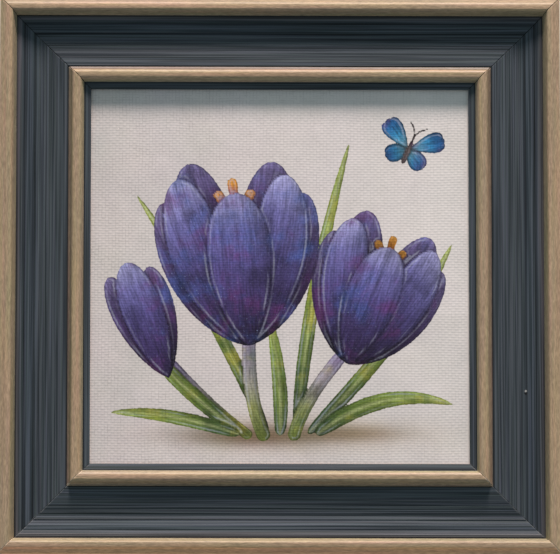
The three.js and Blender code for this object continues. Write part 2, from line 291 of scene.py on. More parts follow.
def toning_and_shade(outline, finish, side):
    """How far the finish is darkened by toning, 0 to MOST_TONED: partly dirt and partly painted shade.

    Each foot of a bead and each groove adds a bell curve of the distance out from it, wide on the
    gilding and narrow on the slate; the painted shade in the grooves of the reeds is weak on the bottom
    length, where light from above falls into them. The side of the frame has a light, even tone.
    Gilding that faces up is darkened more than gilding that faces down, which is left lighter as
    painted light from below: UPWARD is 1 where out is up, -1 where it is down and 0 at the two sides,
    and the rise of the surface comes from the outline's own slope.
    """
    out, height = outline.T
    gilded = finish == GILDING
    grooves = GROOVE_SHADE_BY_SIDE[side]
    at = np.array([LIP_WIDTH, INNER_BEAD_OUTER, REED_FOOT, REED_MEETING, BEAD_FOOT])
    wide, narrow = np.array([(0.7, 0.6, 0.1, 0.1, 1.0), (0.25, 0.4, 0.3, 0.3, 0.3)]) * MM
    across, rise = np.gradient(out), np.gradient(height)
    upward = -UPWARD[side] * rise / np.maximum(np.hypot(across, rise), 1e-9)
    # Gilding facing down is darkened less, as painted light from below, and gilding facing up more.
    by_facing = np.where(gilded, 1 + TONE_BY_FACING * upward, 1)
    width = np.where(gilded[:, None], wide, narrow) * np.sqrt(by_facing)[:, None]
    strength = np.array([1, 1.3, grooves, grooves, 1])
    near = (strength * np.exp(-(((out[:, None] - at) / width) ** 2))).max(axis=1)
    outside = np.clip((OUTER_EDGE - height) / SIDE_TONED_OVER, 0, 1) * (out > MOULDING_WIDTH - 1 * MM)
    return np.clip(np.maximum(near, SIDE_TONING * outside) * by_facing, 0, MOST_TONED)


def combing(out, along, seed, depth):
    """Fine ridges that run along a length, as heights.

    Each ridge is a bell curve across the length, centred at random, and its height swells and fades
    along the length as a slow cosine.
    """
    random = np.random.default_rng(seed)
    centre = random.uniform(0, MOULDING_WIDTH, RIDGES)
    width = random.uniform(0.08, 0.26, RIDGES) * MM
    height = depth * random.normal(0, 1, RIDGES)
    pace = random.uniform(20, 90, RIDGES)
    phase = random.uniform(0, 2 * math.pi, RIDGES)
    bell = np.exp(-(((out[..., None] - centre) / width) ** 2))
    swell = 0.6 + 0.4 * np.cos(along[..., None] * pace + phase)
    return (bell * swell * height).sum(axis=-1)


# ------------------------------------------------------------------ mesh helpers


def grid_faces(rows, columns, closed_rows=False):
    """The four corners of every cell of a grid of rows x columns points."""
    row = np.arange(rows if closed_rows else rows - 1)[:, None]
    column = np.arange(columns - 1)[None, :]
    below = (row + 1) % rows
    corners = [row * columns + column, row * columns + column + 1,
               below * columns + column + 1, below * columns + column]
    return np.stack(corners, axis=-1).reshape(-1, 4)


def add_object(name, data):
    """An object in the scene."""
    added = bpy.data.objects.new(name, data)
    bpy.context.scene.collection.objects.link(added)
    return added


def add_piece(name, mesh, node):
    """A finished piece that rides on the body and stands in for its node, which is hidden."""
    piece = add_object(name, mesh)
    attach(piece, "root")
    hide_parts(node)
    return piece


def new_mesh(name, points, faces, materials):
    """A smooth mesh from points and lists of their numbers, its faces turned outwards."""
    mesh = bpy.data.meshes.new(name)
    mesh.from_pydata(points.tolist(), [], faces)
    mesh.validate()
    mesh.update()
    if signed_volume(mesh) < 0:
        mesh.flip_normals()
    mesh.shade_smooth()
    for material in materials:
        mesh.materials.append(material)
    return mesh


def signed_volume(mesh):
    """The volume that the faces enclose: the sum of the tetrahedra from the middle to each triangle."""
    mesh.calc_loop_triangles()
    corners = np.zeros(len(mesh.loop_triangles) * 3, np.int32)
    points = np.zeros(len(mesh.vertices) * 3)
    mesh.loop_triangles.foreach_get("vertices", corners)
    mesh.vertices.foreach_get("co", points)
    points = points.reshape(-1, 3)
    points = points - points.mean(axis=0)
    a, b, c = points[corners.reshape(-1, 3)].transpose(1, 0, 2)
    return (a * np.cross(b, c)).sum() / 6


def add_attribute(mesh, name, values):
    """One number, or one vector, for each point of a mesh."""
    values = np.ascontiguousarray(values, np.float32)
    kind, key = ("FLOAT", "value") if values.size == len(mesh.vertices) else ("FLOAT_VECTOR", "vector")
    mesh.attributes.new(name, kind, "POINT").data.foreach_set(key, values.ravel())


def turned(points, quarter_turns):
    """Points turned clockwise about the picture's middle, as the viewer sees them."""
    x, y, z = points.T
    for _ in range(quarter_turns):
        x, z = z, -x
    return np.stack([x, y, z], axis=1)


def placed(points):
    """Points round the picture's middle, with y = 0 at the painted face, carried to their place."""
    return points + MIDDLE


# ------------------------------------------------------------------ node helpers


def linear(red, green, blue):
    """A display colour from 0 to 255 as the linear values that shaders take."""
    value = np.array([red, green, blue]) / 255
    low = value / 12.92
    high = ((value + 0.055) / 1.055) ** 2.4
    return tuple(np.where(value <= 0.04045, low, high)) + (1.0,)


def colour(values, brightness=1.0):
    """A colour, made brighter or darker, as the four values that a socket takes."""
    return tuple(v * brightness for v in values) + (1.0,)


class Nodes:
    """Short calls for building one node tree. Inputs are named, or counted from 0."""

    def __init__(self, tree):
        self.tree = tree

    def add(self, kind, inputs=None, **settings):
        node = self.tree.nodes.new(kind)
        for key, value in settings.items():
            setattr(node, key, value)
        for key, value in (inputs or {}).items():
            self.put(node.inputs[key], value)
        return node

    def put(self, socket, value):
        if isinstance(value, bpy.types.NodeSocket):
            self.tree.links.new(value, socket)
        else:
            socket.default_value = value

    def math(self, operation, *values, kind="ShaderNodeMath"):
        return self.add(kind, dict(enumerate(values)), operation=operation).outputs[0]

    def vector(self, operation, *values):
        return self.math(operation, *values, kind="ShaderNodeVectorMath")

    def plus(self, first, second):
        return self.math("ADD", first, second)

    def minus(self, first, second):
        return self.math("SUBTRACT", first, second)

    def times(self, first, second):
        return self.math("MULTIPLY", first, second)

    def mix(self, factor, first, second, blend="MIX"):
        inputs = {0: factor, 6: first, 7: second}
        return self.add("ShaderNodeMix", inputs, data_type="RGBA", blend_type=blend).outputs[2]

    def between(self, factor, first, second):
        return self.add("ShaderNodeMix", {0: factor, 2: first, 3: second}).outputs[0]

    def ramp(self, value, low, high, start=0.0, end=1.0):
        inputs = dict(enumerate((value, low, high, start, end)))
        return self.add("ShaderNodeMapRange", inputs, interpolation_type="SMOOTHSTEP").outputs[0]

    def spread(self, noise, start=0.0, end=1.0):
        """Noise spread over a range."""
        return self.ramp(noise, NOISE_LOW, NOISE_HIGH, start, end)

    def noise(self, vector, scale, detail=2.0, roughness=0.5):
        inputs = {"Vector": vector, "Scale": scale, "Detail": detail, "Roughness": roughness}
        return self.add("ShaderNodeTexNoise", inputs).outputs

    def drawn_noise(self, vector, scales, detail=2.0, roughness=0.5):
        """Noise with its own scale along each axis."""
        drawn = self.add("ShaderNodeMapping", {"Vector": vector, "Scale": scales}).outputs[0]
        return self.noise(drawn, 1.0, detail, roughness)[0]

    def attribute(self, name, output="Fac"):
        return self.add("ShaderNodeAttribute", attribute_name=name).outputs[output]

    def object_place(self):
        return self.add("ShaderNodeTexCoord").outputs["Object"]

    def parts(self, vector):
        return self.add("ShaderNodeSeparateXYZ", {0: vector}).outputs

    def joined(self, *parts):
        return self.add("ShaderNodeCombineXYZ", dict(enumerate(parts))).outputs[0]

    def shade_by(self, base, level):
        """A colour made lighter or darker by a level that changes over the surface."""
        grey = self.add("ShaderNodeCombineColor", {0: level, 1: level, 2: level}).outputs[0]
        return self.mix(1.0, base, grey, "MULTIPLY")

    def spotted(self, base, spots, share, tone):
        """A colour with spots of another, as strong as the share."""
        return self.mix(self.times(spots, share), base, colour(tone))

    def tinted(self, share, base, tint):
        """A colour that takes on a share of a tint that changes over the surface."""
        return self.mix(share, base, self.mix(1.0, base, tint, "OVERLAY"))

    def group(self, name, build, inputs):
        """One use of a shared group, which is built the first time that it is asked for."""
        tree = bpy.data.node_groups.get(name) or build(name)
        return self.add("ShaderNodeGroup", inputs, node_tree=tree).outputs


class Finish(Nodes):
    """The nodes of one material."""

    def __init__(self, name):
        self.material = bpy.data.materials.new(name)
        self.material.use_nodes = True
        super().__init__(self.material.node_tree)
        self.tree.nodes.clear()

    def made(self, base, roughness, relief=None, specular=0.5, metallic=0.0):
        """Adds the shader with its inputs; relief is the strength, depth and height of fine bumps."""
        inputs = {"Base Color": base, "Roughness": roughness, "Specular IOR Level": specular,
                  "Metallic": metallic}
        if relief:
            bump = dict(zip(("Strength", "Distance", "Height"), relief))
            inputs["Normal"] = self.add("ShaderNodeBump", bump).outputs[0]
        shader = self.add("ShaderNodeBsdfPrincipled", inputs)
        self.add("ShaderNodeOutputMaterial", {0: shader.outputs[0]})
        return self.material


def new_group(name, inputs, outputs):
    """An empty node group: inputs and their defaults, where None is a vector, and outputs and kinds."""
    tree = bpy.data.node_groups.new(name, "ShaderNodeTree")
    for label, default in inputs.items():
        kind = "NodeSocketVector" if default is None else "NodeSocketFloat"
        socket = tree.interface.new_socket(label, in_out="INPUT", socket_type=kind)
        if default is not None:
            socket.default_value = default
    for label, kind in outputs.items():
        tree.interface.new_socket(label, in_out="OUTPUT", socket_type=kind)
    nodes = Nodes(tree)
    return nodes, nodes.add("NodeGroupInput").outputs, nodes.add("NodeGroupOutput").inputs


def streaks_group(name):
    """Streaks that run along a length: noise on (along, across) stretched along."""
    nodes, given, result = new_group(
        name, {"Run": None, "Along": 10.0, "Across": 1000.0, "Detail": 3.0},
        {"Value": "NodeSocketFloat", "Tint": "NodeSocketColor"})
    parts = nodes.parts(given["Run"])
    place = nodes.joined(*(nodes.times(part, given[scale])
                           for part, scale in zip(parts, ("Along", "Across", "Across"))))
    noise = nodes.noise(place, 1.0, given["Detail"], 0.55)
    nodes.put(result["Value"], noise[0])
    nodes.put(result["Tint"], noise[1])
    return nodes.tree


def streaks(nodes, run, along, across, detail=3.0):
    """One use of the streaks group: its value and its tint."""
    inputs = {"Run": run, "Along": along, "Across": across, "Detail": detail}
    return nodes.group("Streaks", streaks_group, inputs)


# ------------------------------------------------------------------ the painted design
# Worked out in millimetres from the picture's middle, x right and z up, on the canvas's own grid.

LIGHT_ON_PAINT = (0.778, 0.743, 0.721)
LIGHT_BY_LEAN = 0.012
THROAT, ARM_WIDTH, ARM_CURL, ARM_FULLNESS = 0.62, 0.026, 0.02, (1.8, 0.3)
FLOW_APART = (37, 53)
NEAR_END = 1e-4
CURVE_STEPS = 32
BLOOM_TONES = ((38, 26, 58), (50, 38, 78), (66, 54, 102), (84, 76, 132), (108, 104, 160), (152, 150, 192))
INNER_TONES = ((30, 20, 44), (42, 28, 60), (58, 40, 82), (76, 56, 106), (98, 82, 134), (124, 112, 160))
STIGMA_TONES = ((120, 52, 18), (176, 84, 22), (206, 122, 34), (222, 160, 70))
LEAF_TONES = ((54, 72, 34), (82, 102, 42), (112, 130, 54), (128, 146, 62), (156, 166, 92))
MIDRIB_TONE = (180, 186, 132)
STEM_TONES = ((104, 116, 52), (128, 134, 84), (146, 138, 140), (120, 104, 142))
WING_TONES = ((164, 208, 222), (104, 178, 210), (56, 138, 184), (40, 104, 158), (30, 70, 116))
BODY_TONES = ((70, 58, 60), (96, 84, 82), (52, 44, 50))
FEELER_TONES = ((74, 62, 62), (58, 50, 54))
GROUND_TONES = ((197, 189, 185), (207, 198, 194), (209, 201, 197), (213, 206, 201))
# The shadows on the ground: middle, reach, tone and strength.
GROUND_SHADOWS = (((3, -38.6), (30, 4.4), (158, 136, 108), 0.6), ((-7, -39.2), (17, 2.7), (98, 78, 50), 0.85),
                  ((15, -38.6), (15, 2.1), (112, 92, 58), 0.7))
# A bloom's back petals and front petals, each by its lean, reach, width and curl.
OPEN_BLOOM = (((-42, 0.84, 0.13, 0.22), (41, 0.82, 0.13, -0.22), (-16, 1.0, 0.15, 0.04),
               (15, 0.97, 0.15, -0.04)),
              ((-29, 0.93, 0.15, 0.16), (28, 0.90, 0.15, -0.16), (-2, 0.80, 0.165, 0.02)))
BUD = (((-16, 0.92, 0.12, 0.09), (17, 0.89, 0.12, -0.09)), ((-1, 0.97, 0.16, 0.02),))
# The stigma's arms, by lean and reach.
STIGMA = ((-24, 0.22), (21, 0.21), (-3, 0.26))
# The butterfly's wings, by lean, reach, width and fullness.
WINGS = ((-128, 0.40, 0.15, (0.7, 0.42)), (122, 0.40, 0.15, (0.7, 0.42)),
         (-60, 0.60, 0.17, (1.1, 0.36)), (52, 0.60, 0.17, (1.1, 0.36)))
# Where the leaves and stems run: start, middle, end, width and seed, in the order they are laid.
PLANTS = (
    ("leaf", (-3, -38.5), (-17, -6), (-35, 20), 1.6, 3),
    ("leaf", (4, -38.5), (7, -2), (17, 33), 1.7, 4),
    ("leaf", (7, -38.5), (30, -16), (42, 8), 1.8, 5),
    ("stem", (-4, -38.8), (-8, -30), (-7.5, -13), 1.7, 12),
    ("stem", (3.5, -38.8), (6, -30), (15.5, -19), 1.6, 13),
    ("stem", (-8, -38.8), (-16, -33), (-26, -22), 1.3, 14),
    ("leaf", (-9, -38.6), (-28, -26), (-42, -4), 1.8, 6),
    ("leaf", (-10, -38.8), (-27, -33), (-41, -33.5), 1.7, 7),
    ("leaf", (0, -39), (1, -26), (-3, -8), 1.8, 8),
    ("leaf", (9, -38.8), (25, -26), (42, -31.5), 2.0, 9),
)
# Where the blooms and the butterfly are: place, lean, length, a bloom's petals, and seed.
BLOOMS = (((-27, -25), -21, 31, BUD, 20), ((16.5, -21.5), 21, 38, OPEN_BLOOM, 24),
          ((-7.5, -17), -5, 47, OPEN_BLOOM, 28))
BUTTERFLY = ((31.5, 31.5), 24, 15, 34)


def pigment(*display):
    """Paint that shows as the given 0 to 255 colour under the stage's light."""
    return np.array(linear(*display)[:3]) / np.array(LIGHT_ON_PAINT)


def across_tones(share, stops):
    """A colour for each share from 0 to 1, passing evenly through a list of paints."""
    stops = np.array([pigment(*stop) for stop in stops])
    at = np.linspace(0, 1, len(stops))
    return np.stack([np.interp(share, at, stops[:, i]) for i in range(3)], axis=-1)


def tapered(t, taper):
    """A half width along a petal or leaf: t^a x (1 - t)^b, scaled to reach 1 at its widest."""
    a, b = taper
    most = (a / (a + b)) ** a * (b / (a + b)) ** b if a + b else 1
    return t ** a * (1 - t) ** b / most


def petal(layer, base, lean, length, width, curl=0.0, fullness=(0.75, 0.5)):
    """Signed distance to a petal (negative inside), with the shares along and across it.

    The petal's middle line leaves its base at the lean angle, from upright towards the right, and
    curls sideways with the square of the distance. Its half width is width by the tapered curve of
    the share of the length.
    """
    turn = math.radians(lean)
    dx, dz = layer.x - base[0], layer.z - base[1]
    along = dx * math.sin(turn) + dz * math.cos(turn)
    t = along / length
    sideways = dx * math.cos(turn) - dz * math.sin(turn) - curl * t * np.abs(t)
    inner = np.clip(t, NEAR_END, 1 - NEAR_END)
    half = width * tapered(inner, fullness)
    slope = np.clip(half * (fullness[0] / inner - fullness[1] / (1 - inner)) / length, -2.5, 2.5)
    beside = (np.abs(sideways) - half) / np.sqrt(1 + slope ** 2)
    beyond = np.where(t > 0.5, along - length, -along)
    ended = np.hypot(np.maximum(beyond, 0), np.abs(sideways))
    distance = np.where((t > 0) & (t < 1), beside, ended)
    return distance, np.clip(t, 0, 1), np.clip(sideways / (half + 0.3), -1.3, 1.3), along, sideways


def ribbon(layer, start, middle, end, width, taper=(0.35, 0.75)):
    """Signed distance to a leaf or stem along a curve, with the shares along and across it.

    The curve is the quadratic one from start to end that is drawn towards middle. The distance is
    that to the nearest of its short straight pieces, less a half width of width by the tapered
    curve of the share of the length.
    """
    x, z = layer.x, layer.z
    share = np.linspace(0, 1, CURVE_STEPS + 1)[:, None]
    curve = ((1 - share) ** 2 * np.array(start) + 2 * share * (1 - share) * np.array(middle)
             + share ** 2 * np.array(end))
    steps = np.diff(curve, axis=0)
    near = np.full(x.shape, 1e9)
    t, side = np.zeros(x.shape), np.zeros(x.shape)
    for i, (first, step) in enumerate(zip(curve[:-1], steps)):
        part = ((x - first[0]) * step[0] + (z - first[1]) * step[1]) / (step ** 2).sum()
        part = np.clip(part, 0, 1)
        dx, dz = x - first[0] - part * step[0], z - first[1] - part * step[1]
        far = np.hypot(dx, dz)
        closer = far < near
        near = np.where(closer, far, near)
        t = np.where(closer, (i + part) / CURVE_STEPS, t)
        side = np.where(closer, np.sign(dx * step[1] - dz * step[0]) * far, side)
    half = width * tapered(np.clip(t, NEAR_END, 1 - NEAR_END), taper)
    length = np.linalg.norm(steps, axis=1).sum()
    return near - half, t, side / (half + 0.2), t * length, side


class Layer:
    """Shapes laid over one another in order, kept as smooth fields on the canvas's grid.

    edge is the signed distance to the outline of all the shapes together, line the distance to the
    nearest visible border of a shape, paint the colour and flow the place along and across a shape.
    """

    def __init__(self, x, z):
        self.x, self.z = x, z
        self.edge = np.full(x.shape, 50.0)
        self.line = np.full(x.shape, 50.0)
        self.paint = np.zeros(x.shape + (3,))
        self.flow = np.zeros(x.shape + (3,))

    def lay(self, shape, paint, seed=0.0, shadow=0.4):
        """Adds a shape, with a soft shadow on what lies under it that halves every millimetre."""
        distance, _, _, along, sideways = shape
        inside = distance < 0
        self.paint = self.paint * (1 - shadow * 0.5 ** distance.clip(0))[..., None]
        shown = inside | ((self.edge > 0) & (distance < self.edge))
        self.line = np.where(inside, -distance, np.minimum(self.line, distance))
        self.edge = np.minimum(self.edge, distance)
        self.paint = np.where(shown[..., None], paint, self.paint)
        ahead, beside = along + FLOW_APART[0] * seed, sideways + FLOW_APART[1] * seed
        flow = np.stack([ahead, beside, np.full(along.shape, seed)], axis=-1)
        self.flow = np.where(shown[..., None], flow, self.flow)


def petal_paint(shape, tones, light):
    """A petal's colour: tones from base to tip, a dark middle vein, side veins and a lit side."""
    _, t, v, _, _ = shape
    paint = across_tones(t ** 0.9, tones)
    taper = np.sqrt((t * (1 - t)).clip(0)) * 2
    vein = np.exp(-((v / 0.07) ** 2)) + 0.5 * np.exp(-(((np.abs(v) - 0.42) / 0.07) ** 2)) * taper
    form = 1 - 0.36 * (v * light).clip(-1, 1) - 0.26 * np.abs(v) ** 3
    return paint * (form * (1 - 0.26 * vein))[..., None]


def crocus(layer, base, lean, length, bloom, seed):
    """One bloom: back petals, the orange stigma that shows between them, then front petals.

    A petal's reach, width and curl are shares of the bloom's length.
    """

    def lay_petals(petals, tones, light, first_seed, shadow):
        for i, (turn, *shares) in enumerate(petals):
            shape = petal(layer, base, lean + turn, *(length * share for share in shares))
            paint = petal_paint(shape, tones, light + LIGHT_BY_LEAN * turn)
            layer.lay(shape, paint, first_seed + 0.1 * i, shadow)

    back, front = bloom
    lay_petals(back, INNER_TONES, 0.5, seed, 0.4)
    turn = math.radians(lean)
    up = THROAT * length
    throat = (base[0] + up * math.sin(turn), base[1] + up * math.cos(turn))
    for angle, reach in STIGMA:
        shape = petal(layer, throat, lean + angle, reach * length, ARM_WIDTH * length, ARM_CURL * angle,
                      ARM_FULLNESS)
        layer.lay(shape, across_tones(shape[1], STIGMA_TONES), seed + 0.8)
    lay_petals(front, BLOOM_TONES, 0.6, seed + 0.5, 0.55)


def butterfly(layer, place, lean, size, seed):
    """A small blue butterfly: four wings with dark rims and veins, a body and two feelers."""
    for i, (angle, reach, width, fullness) in enumerate(WINGS):
        shape = petal(layer, place, lean + angle, size * reach, size * width, 0.0, fullness)
        rim = np.clip(-shape[0] / (0.055 * size), 0, 1)
        vein = 1 - 0.22 * np.cos(shape[2] * 9).clip(0) ** 4
        paint = across_tones(shape[1], WING_TONES) * ((0.42 + 0.58 * rim) * vein)[..., None]
        layer.lay(shape, paint, seed + 0.2 * i)
    turn = math.radians(lean)
    up, side = np.array([math.sin(turn), math.cos(turn)]), np.array([math.cos(turn), -math.sin(turn)])
    middle = np.array(place)
    body = ribbon(layer, middle - 0.26 * size * up, middle, middle + 0.18 * size * up, 0.045 * size)
    layer.lay(body, across_tones(body[1], BODY_TONES), seed + 1)
    for hand in (-1, 1):
        tip = middle + 0.42 * size * up + hand * 0.15 * size * side
        feeler = ribbon(layer, middle + 0.17 * size * up, middle + 0.34 * size * up, tip, 0.21, (0, 0))
        layer.lay(feeler, across_tones(feeler[1], FEELER_TONES), seed + 1)


def ground_paint(x, z):
    """The pale ground: lighter towards the right, with a soft ochre shadow where the plants stand.

    It darkens a little towards the top, and by one small level step on the right, below the middle.
    """
    right = np.clip(0.5 + x / 96, 0, 1)
    high = np.clip(z / 46, -1, 1)
    level = 1 - 0.04 * (high - 0.1) ** 2 * (high > 0.1) - 0.05 * right * (high < -0.2)
    paint = across_tones(right, GROUND_TONES) * level[..., None]
    for centre, reach, tone, strength in GROUND_SHADOWS:
        far = ((x - centre[0]) / reach[0]) ** 2 + ((z - centre[1]) / reach[1]) ** 2
        share = (strength * np.exp(-far ** 1.2))[..., None]
        paint = paint * (1 - share) + share * pigment(*tone)
    return paint


def leaf(layer, start, middle, end, width, seed):
    """One narrow leaf with a pale midrib, its left side lit."""
    shape = ribbon(layer, start, middle, end, width, (0.3, 0.6))
    rib = 0.55 * np.exp(-((shape[2] / 0.2) ** 2))[..., None]
    paint = across_tones(shape[1], LEAF_TONES) * (1 - 0.30 * shape[2].clip(-1, 1))[..., None]
    layer.lay(shape, paint * (1 - rib) + rib * pigment(*MIDRIB_TONE), seed)


def stem(layer, start, middle, end, width, seed):
    """One round stem, green at the ground and violet under its bloom."""
    shape = ribbon(layer, start, middle, end, width, (0.0, 0.0))
    paint = across_tones(shape[1], STEM_TONES)
    layer.lay(shape, paint * (1 - 0.34 * shape[2].clip(-1, 1) - 0.12 * shape[2] ** 2)[..., None], seed)


def paint_design(x, z):
    """The whole design: the ground, a layer of leaves and stems, and a layer of blooms."""
    greens, blooms = Layer(x, z), Layer(x, z)
    for kind, *run in PLANTS:
        {"leaf": leaf, "stem": stem}[kind](greens, *run)
    for bloom in BLOOMS:
        crocus(blooms, *bloom)
    butterfly(blooms, *BUTTERFLY)
    return ground_paint(x, z), greens, blooms


# ------------------------------------------------------------------ settings


def colour_setting(name, description, default):
    """A colour that the user may change."""
    return bpy.props.FloatVectorProperty(name=name, description=description, subtype="COLOR", size=3,
                                         default=default, min=0, max=1)


def length_setting(name, description, default, low, high):
    """A length that the user may change."""
    return bpy.props.FloatProperty(name=name, description=description, subtype="DISTANCE", unit="LENGTH",
                                   default=default, min=low, max=high)


class MouldingSettings(bpy.types.PropertyGroup):
    """The moulding's colours and surface."""

    slate: colour_setting("Slate", "Paint on the panel, reeds and lip", (0.0585, 0.0745, 0.0885))
    reeds: colour_setting("Reed slate", "Paint on the reeds, a little bluer", (0.0545, 0.073, 0.0905))
    gilt: colour_setting("Gilding", "Pale gold on the two beads", (0.475, 0.352, 0.225))
    # The olive toning colour is partly dirt and partly painted shade, with a greenish painted reflection in
    # it.
    olive: colour_setting("Olive toning", "Old toning on the sides of the beads that face the picture",
                          (0.33, 0.30, 0.188))
    wood: colour_setting("Bare wood", "Unpainted wood at the back", (0.64, 0.425, 0.245))
    # The strength of the toning on the gilding: partly dirt and partly painted shade.
    toning_and_shade: bpy.props.FloatProperty(
        name="Toning", description="Darkening of the gilding at the feet of the beads",
        subtype="FACTOR", default=0.75, min=0, max=1)
    comb_depth: length_setting("Combing", "Height of the ridges combed along the panel",
                               0.02 * MM, 0, 0.2 * MM)


class PictureSettings(bpy.types.PropertyGroup):
    """The canvas under the paint."""

    column_pitch: length_setting("Column pitch", "Spacing of the canvas's upright threads",
                                 0.819 * MM, 0.1 * MM, 5 * MM)
    row_pitch: length_setting("Row pitch", "Spacing of the canvas's level threads",
                              0.636 * MM, 0.1 * MM, 5 * MM)


class FittingsSettings(bpy.types.PropertyGroup):
    """Colours of what is at the back."""

    board: colour_setting("Board", "Fibreboard under the canvas", (0.26, 0.16, 0.09))
    liner: colour_setting("Liner paper", "Paper over the board's back", (0.80, 0.70, 0.55))


class StageSettings(bpy.types.PropertyGroup):
    """Lights, floor and camera."""

    floor_level: bpy.props.FloatProperty(
        name="Floor level", description="Height of the floor", subtype="DISTANCE",
        unit="LENGTH", default=-0.40)
    key_strength: bpy.props.FloatProperty(
        name="Key light", description="Power of the key light", unit="POWER", default=150.0, min=0)


SETTINGS = (
    ("moulding", MouldingSettings),
    ("picture", PictureSettings),
    ("fittings", FittingsSettings),
    ("stage", StageSettings),
)


# ------------------------------------------------------------------ materials


def wear_group(name):
    """Wear along the mitres: how bare the finish is, broken up by fine noise on the run."""
    inputs = {"Run": None, "Near": 0.0, "Amount": 0.5}
    nodes, given, result = new_group(name, inputs, {"Bare": "NodeSocketFloat"})
    broken = nodes.ramp(nodes.noise(given["Run"], 900.0, 3.0, 0.7)[0], 0.40, 0.62)
    bare = nodes.times(nodes.ramp(given["Near"], 0.15, 0.9), broken)
    nodes.put(result["Bare"], nodes.times(bare, given["Amount"]))
    return nodes.tree


def worn_through(nodes, run, finish, under, amount):
    """A finish worn through to the colour under it along the mitres."""
    inputs = {"Run": run, "Near": nodes.attribute("worn"), "Amount": amount}
    return nodes.mix(nodes.group("Mitre wear", wear_group, inputs)["Bare"], finish, colour(under))


def chipped(nodes, run, finish):
    """The one small chip in the slate paint of the right length: a painted shadow just below it and the pale
    ground.
    """
    along, out, _ = nodes.parts(run)
    for shift, reach, tone in ((0.6 * MM, 0.6 * MM, CHIP_SHADOW), (0, 0.45 * MM, CHIP_GROUND)):
        far = nodes.plus(nodes.math("ABSOLUTE", nodes.minus(along, CHIP_ALONG + shift)),
                         nodes.math("ABSOLUTE", nodes.minus(out, CHIP_OUT)))
        finish = nodes.mix(nodes.ramp(far, 0.4 * reach, reach, 1.0, 0.0), finish, colour(tone))
    return finish


def slate_material(settings):
    """Combed slate paint: long streaks, light and dark, each with a slight tint of its own."""
    nodes = Finish("Slate paint")
    run = nodes.attribute("run", "Vector")
    broad, fine = streaks(nodes, run, 14, 1500, 2.0), streaks(nodes, run, 22, 2700)
    level = nodes.plus(nodes.ramp(broad[0], 0.25, 0.75, 0.80, 1.12),
                       nodes.ramp(fine[0], 0.35, 0.65, -0.40, 0.43))
    # The toning darkens the slate in the grooves and at the bead feet: partly dirt and partly painted shade.
    level = nodes.times(level, nodes.minus(1.0, nodes.times(nodes.attribute("toned_and_shaded"), 0.5)))
    out = nodes.parts(run)[1]
    base = nodes.mix(nodes.ramp(out, PANEL_END, REED_FOOT), colour(settings.slate), colour(settings.reeds))
    base = nodes.mix(nodes.ramp(out, REED_MEETING, BEAD_FOOT), base, colour(OUTER_REED_SLATE))
    painted = chipped(nodes, run, nodes.shade_by(nodes.tinted(0.18, base, fine[1]), level))
    return nodes.made(worn_through(nodes, run, painted, SLATE_UNDERCOAT, 0.7),
                      nodes.spread(broad[0], 0.5, 0.6), (0.5, 0.02 * MM, fine[0]), specular=0.16)


def gilding_material(settings):
    """Pale satin gilding, with the short flecks of the grain beneath it.

    Its toning, partly dirt and partly painted shade, is brown on the outer side of the inner bead and
    olive elsewhere, the olive with a greenish painted reflection in it.
    """
    nodes = Finish("Gilding")
    run = nodes.attribute("run", "Vector")
    flecks, short = streaks(nodes, run, 420, 3400), streaks(nodes, run, 800, 5200, 2.0)
    sweep, brushed = streaks(nodes, run, 30, 900, 2.0), streaks(nodes, run, 60, 5600, 2.0)
    level = nodes.plus(nodes.times(nodes.spread(flecks[0], 0.80, 1.08),
                                   nodes.ramp(short[0], 0.36, 0.64, 0.84, 1.1)),
                       nodes.spread(sweep[0], -0.06, 0.06))
    out = nodes.parts(run)[1]
    # Toning that stands partly for dirt and partly for painted shade: brown on the inner bead's outer side,
    # olive with a greenish painted reflection elsewhere.
    brown = nodes.times(nodes.ramp(out, INNER_BEAD_OUTER - 1.2 * MM, INNER_BEAD_OUTER - 0.8 * MM),
                        nodes.ramp(out, BEAD_FOOT - 2 * MM, BEAD_FOOT - 1 * MM, 1.0, 0.0))
    grime_and_shade = nodes.mix(brown, colour(settings.olive), colour(BROWN_GRIME_AND_SHADE))
    darkened_gilt = nodes.mix(nodes.times(nodes.attribute("toned_and_shaded"), settings.toning_and_shade), colour(settings.gilt), grime_and_shade)
    gilded = nodes.shade_by(nodes.tinted(0.16, darkened_gilt, sweep[1]), level)
    relief = nodes.plus(brushed[0], nodes.times(flecks[0], 0.5))
    return nodes.made(worn_through(nodes, run, gilded, WORN_GILDING, 0.8),
                      nodes.spread(flecks[0], 0.45, 0.53), (0.6, 0.03 * MM, relief), specular=0.40)


def bare_wood_material(settings):
    """Planed softwood: darker late wood in long narrow bands, fine fibres and short pores."""
    nodes = Finish("Bare wood")
    run = nodes.attribute("run", "Vector")
    bands, pores = streaks(nodes, run, 14, 620, 2.0)[0], streaks(nodes, run, 420, 7600, 2.0)[0]
    grain = streaks(nodes, run, 60, 2400, 4.0)[0]
    early = nodes.mix(nodes.spread(grain), colour(settings.wood, 0.86), colour(settings.wood, 1.1))
    late = nodes.spotted(early, nodes.ramp(bands, 0.5, 0.66), 0.5, LATE_WOOD)
    pitted = nodes.spotted(late, nodes.ramp(pores, 0.60, 0.72), 0.45, WOOD_PORE)
    relief = nodes.plus(grain, nodes.times(pores, -0.6))
    return nodes.made(pitted, nodes.spread(grain, 0.66, 0.82), (0.45, 0.04 * MM, relief))


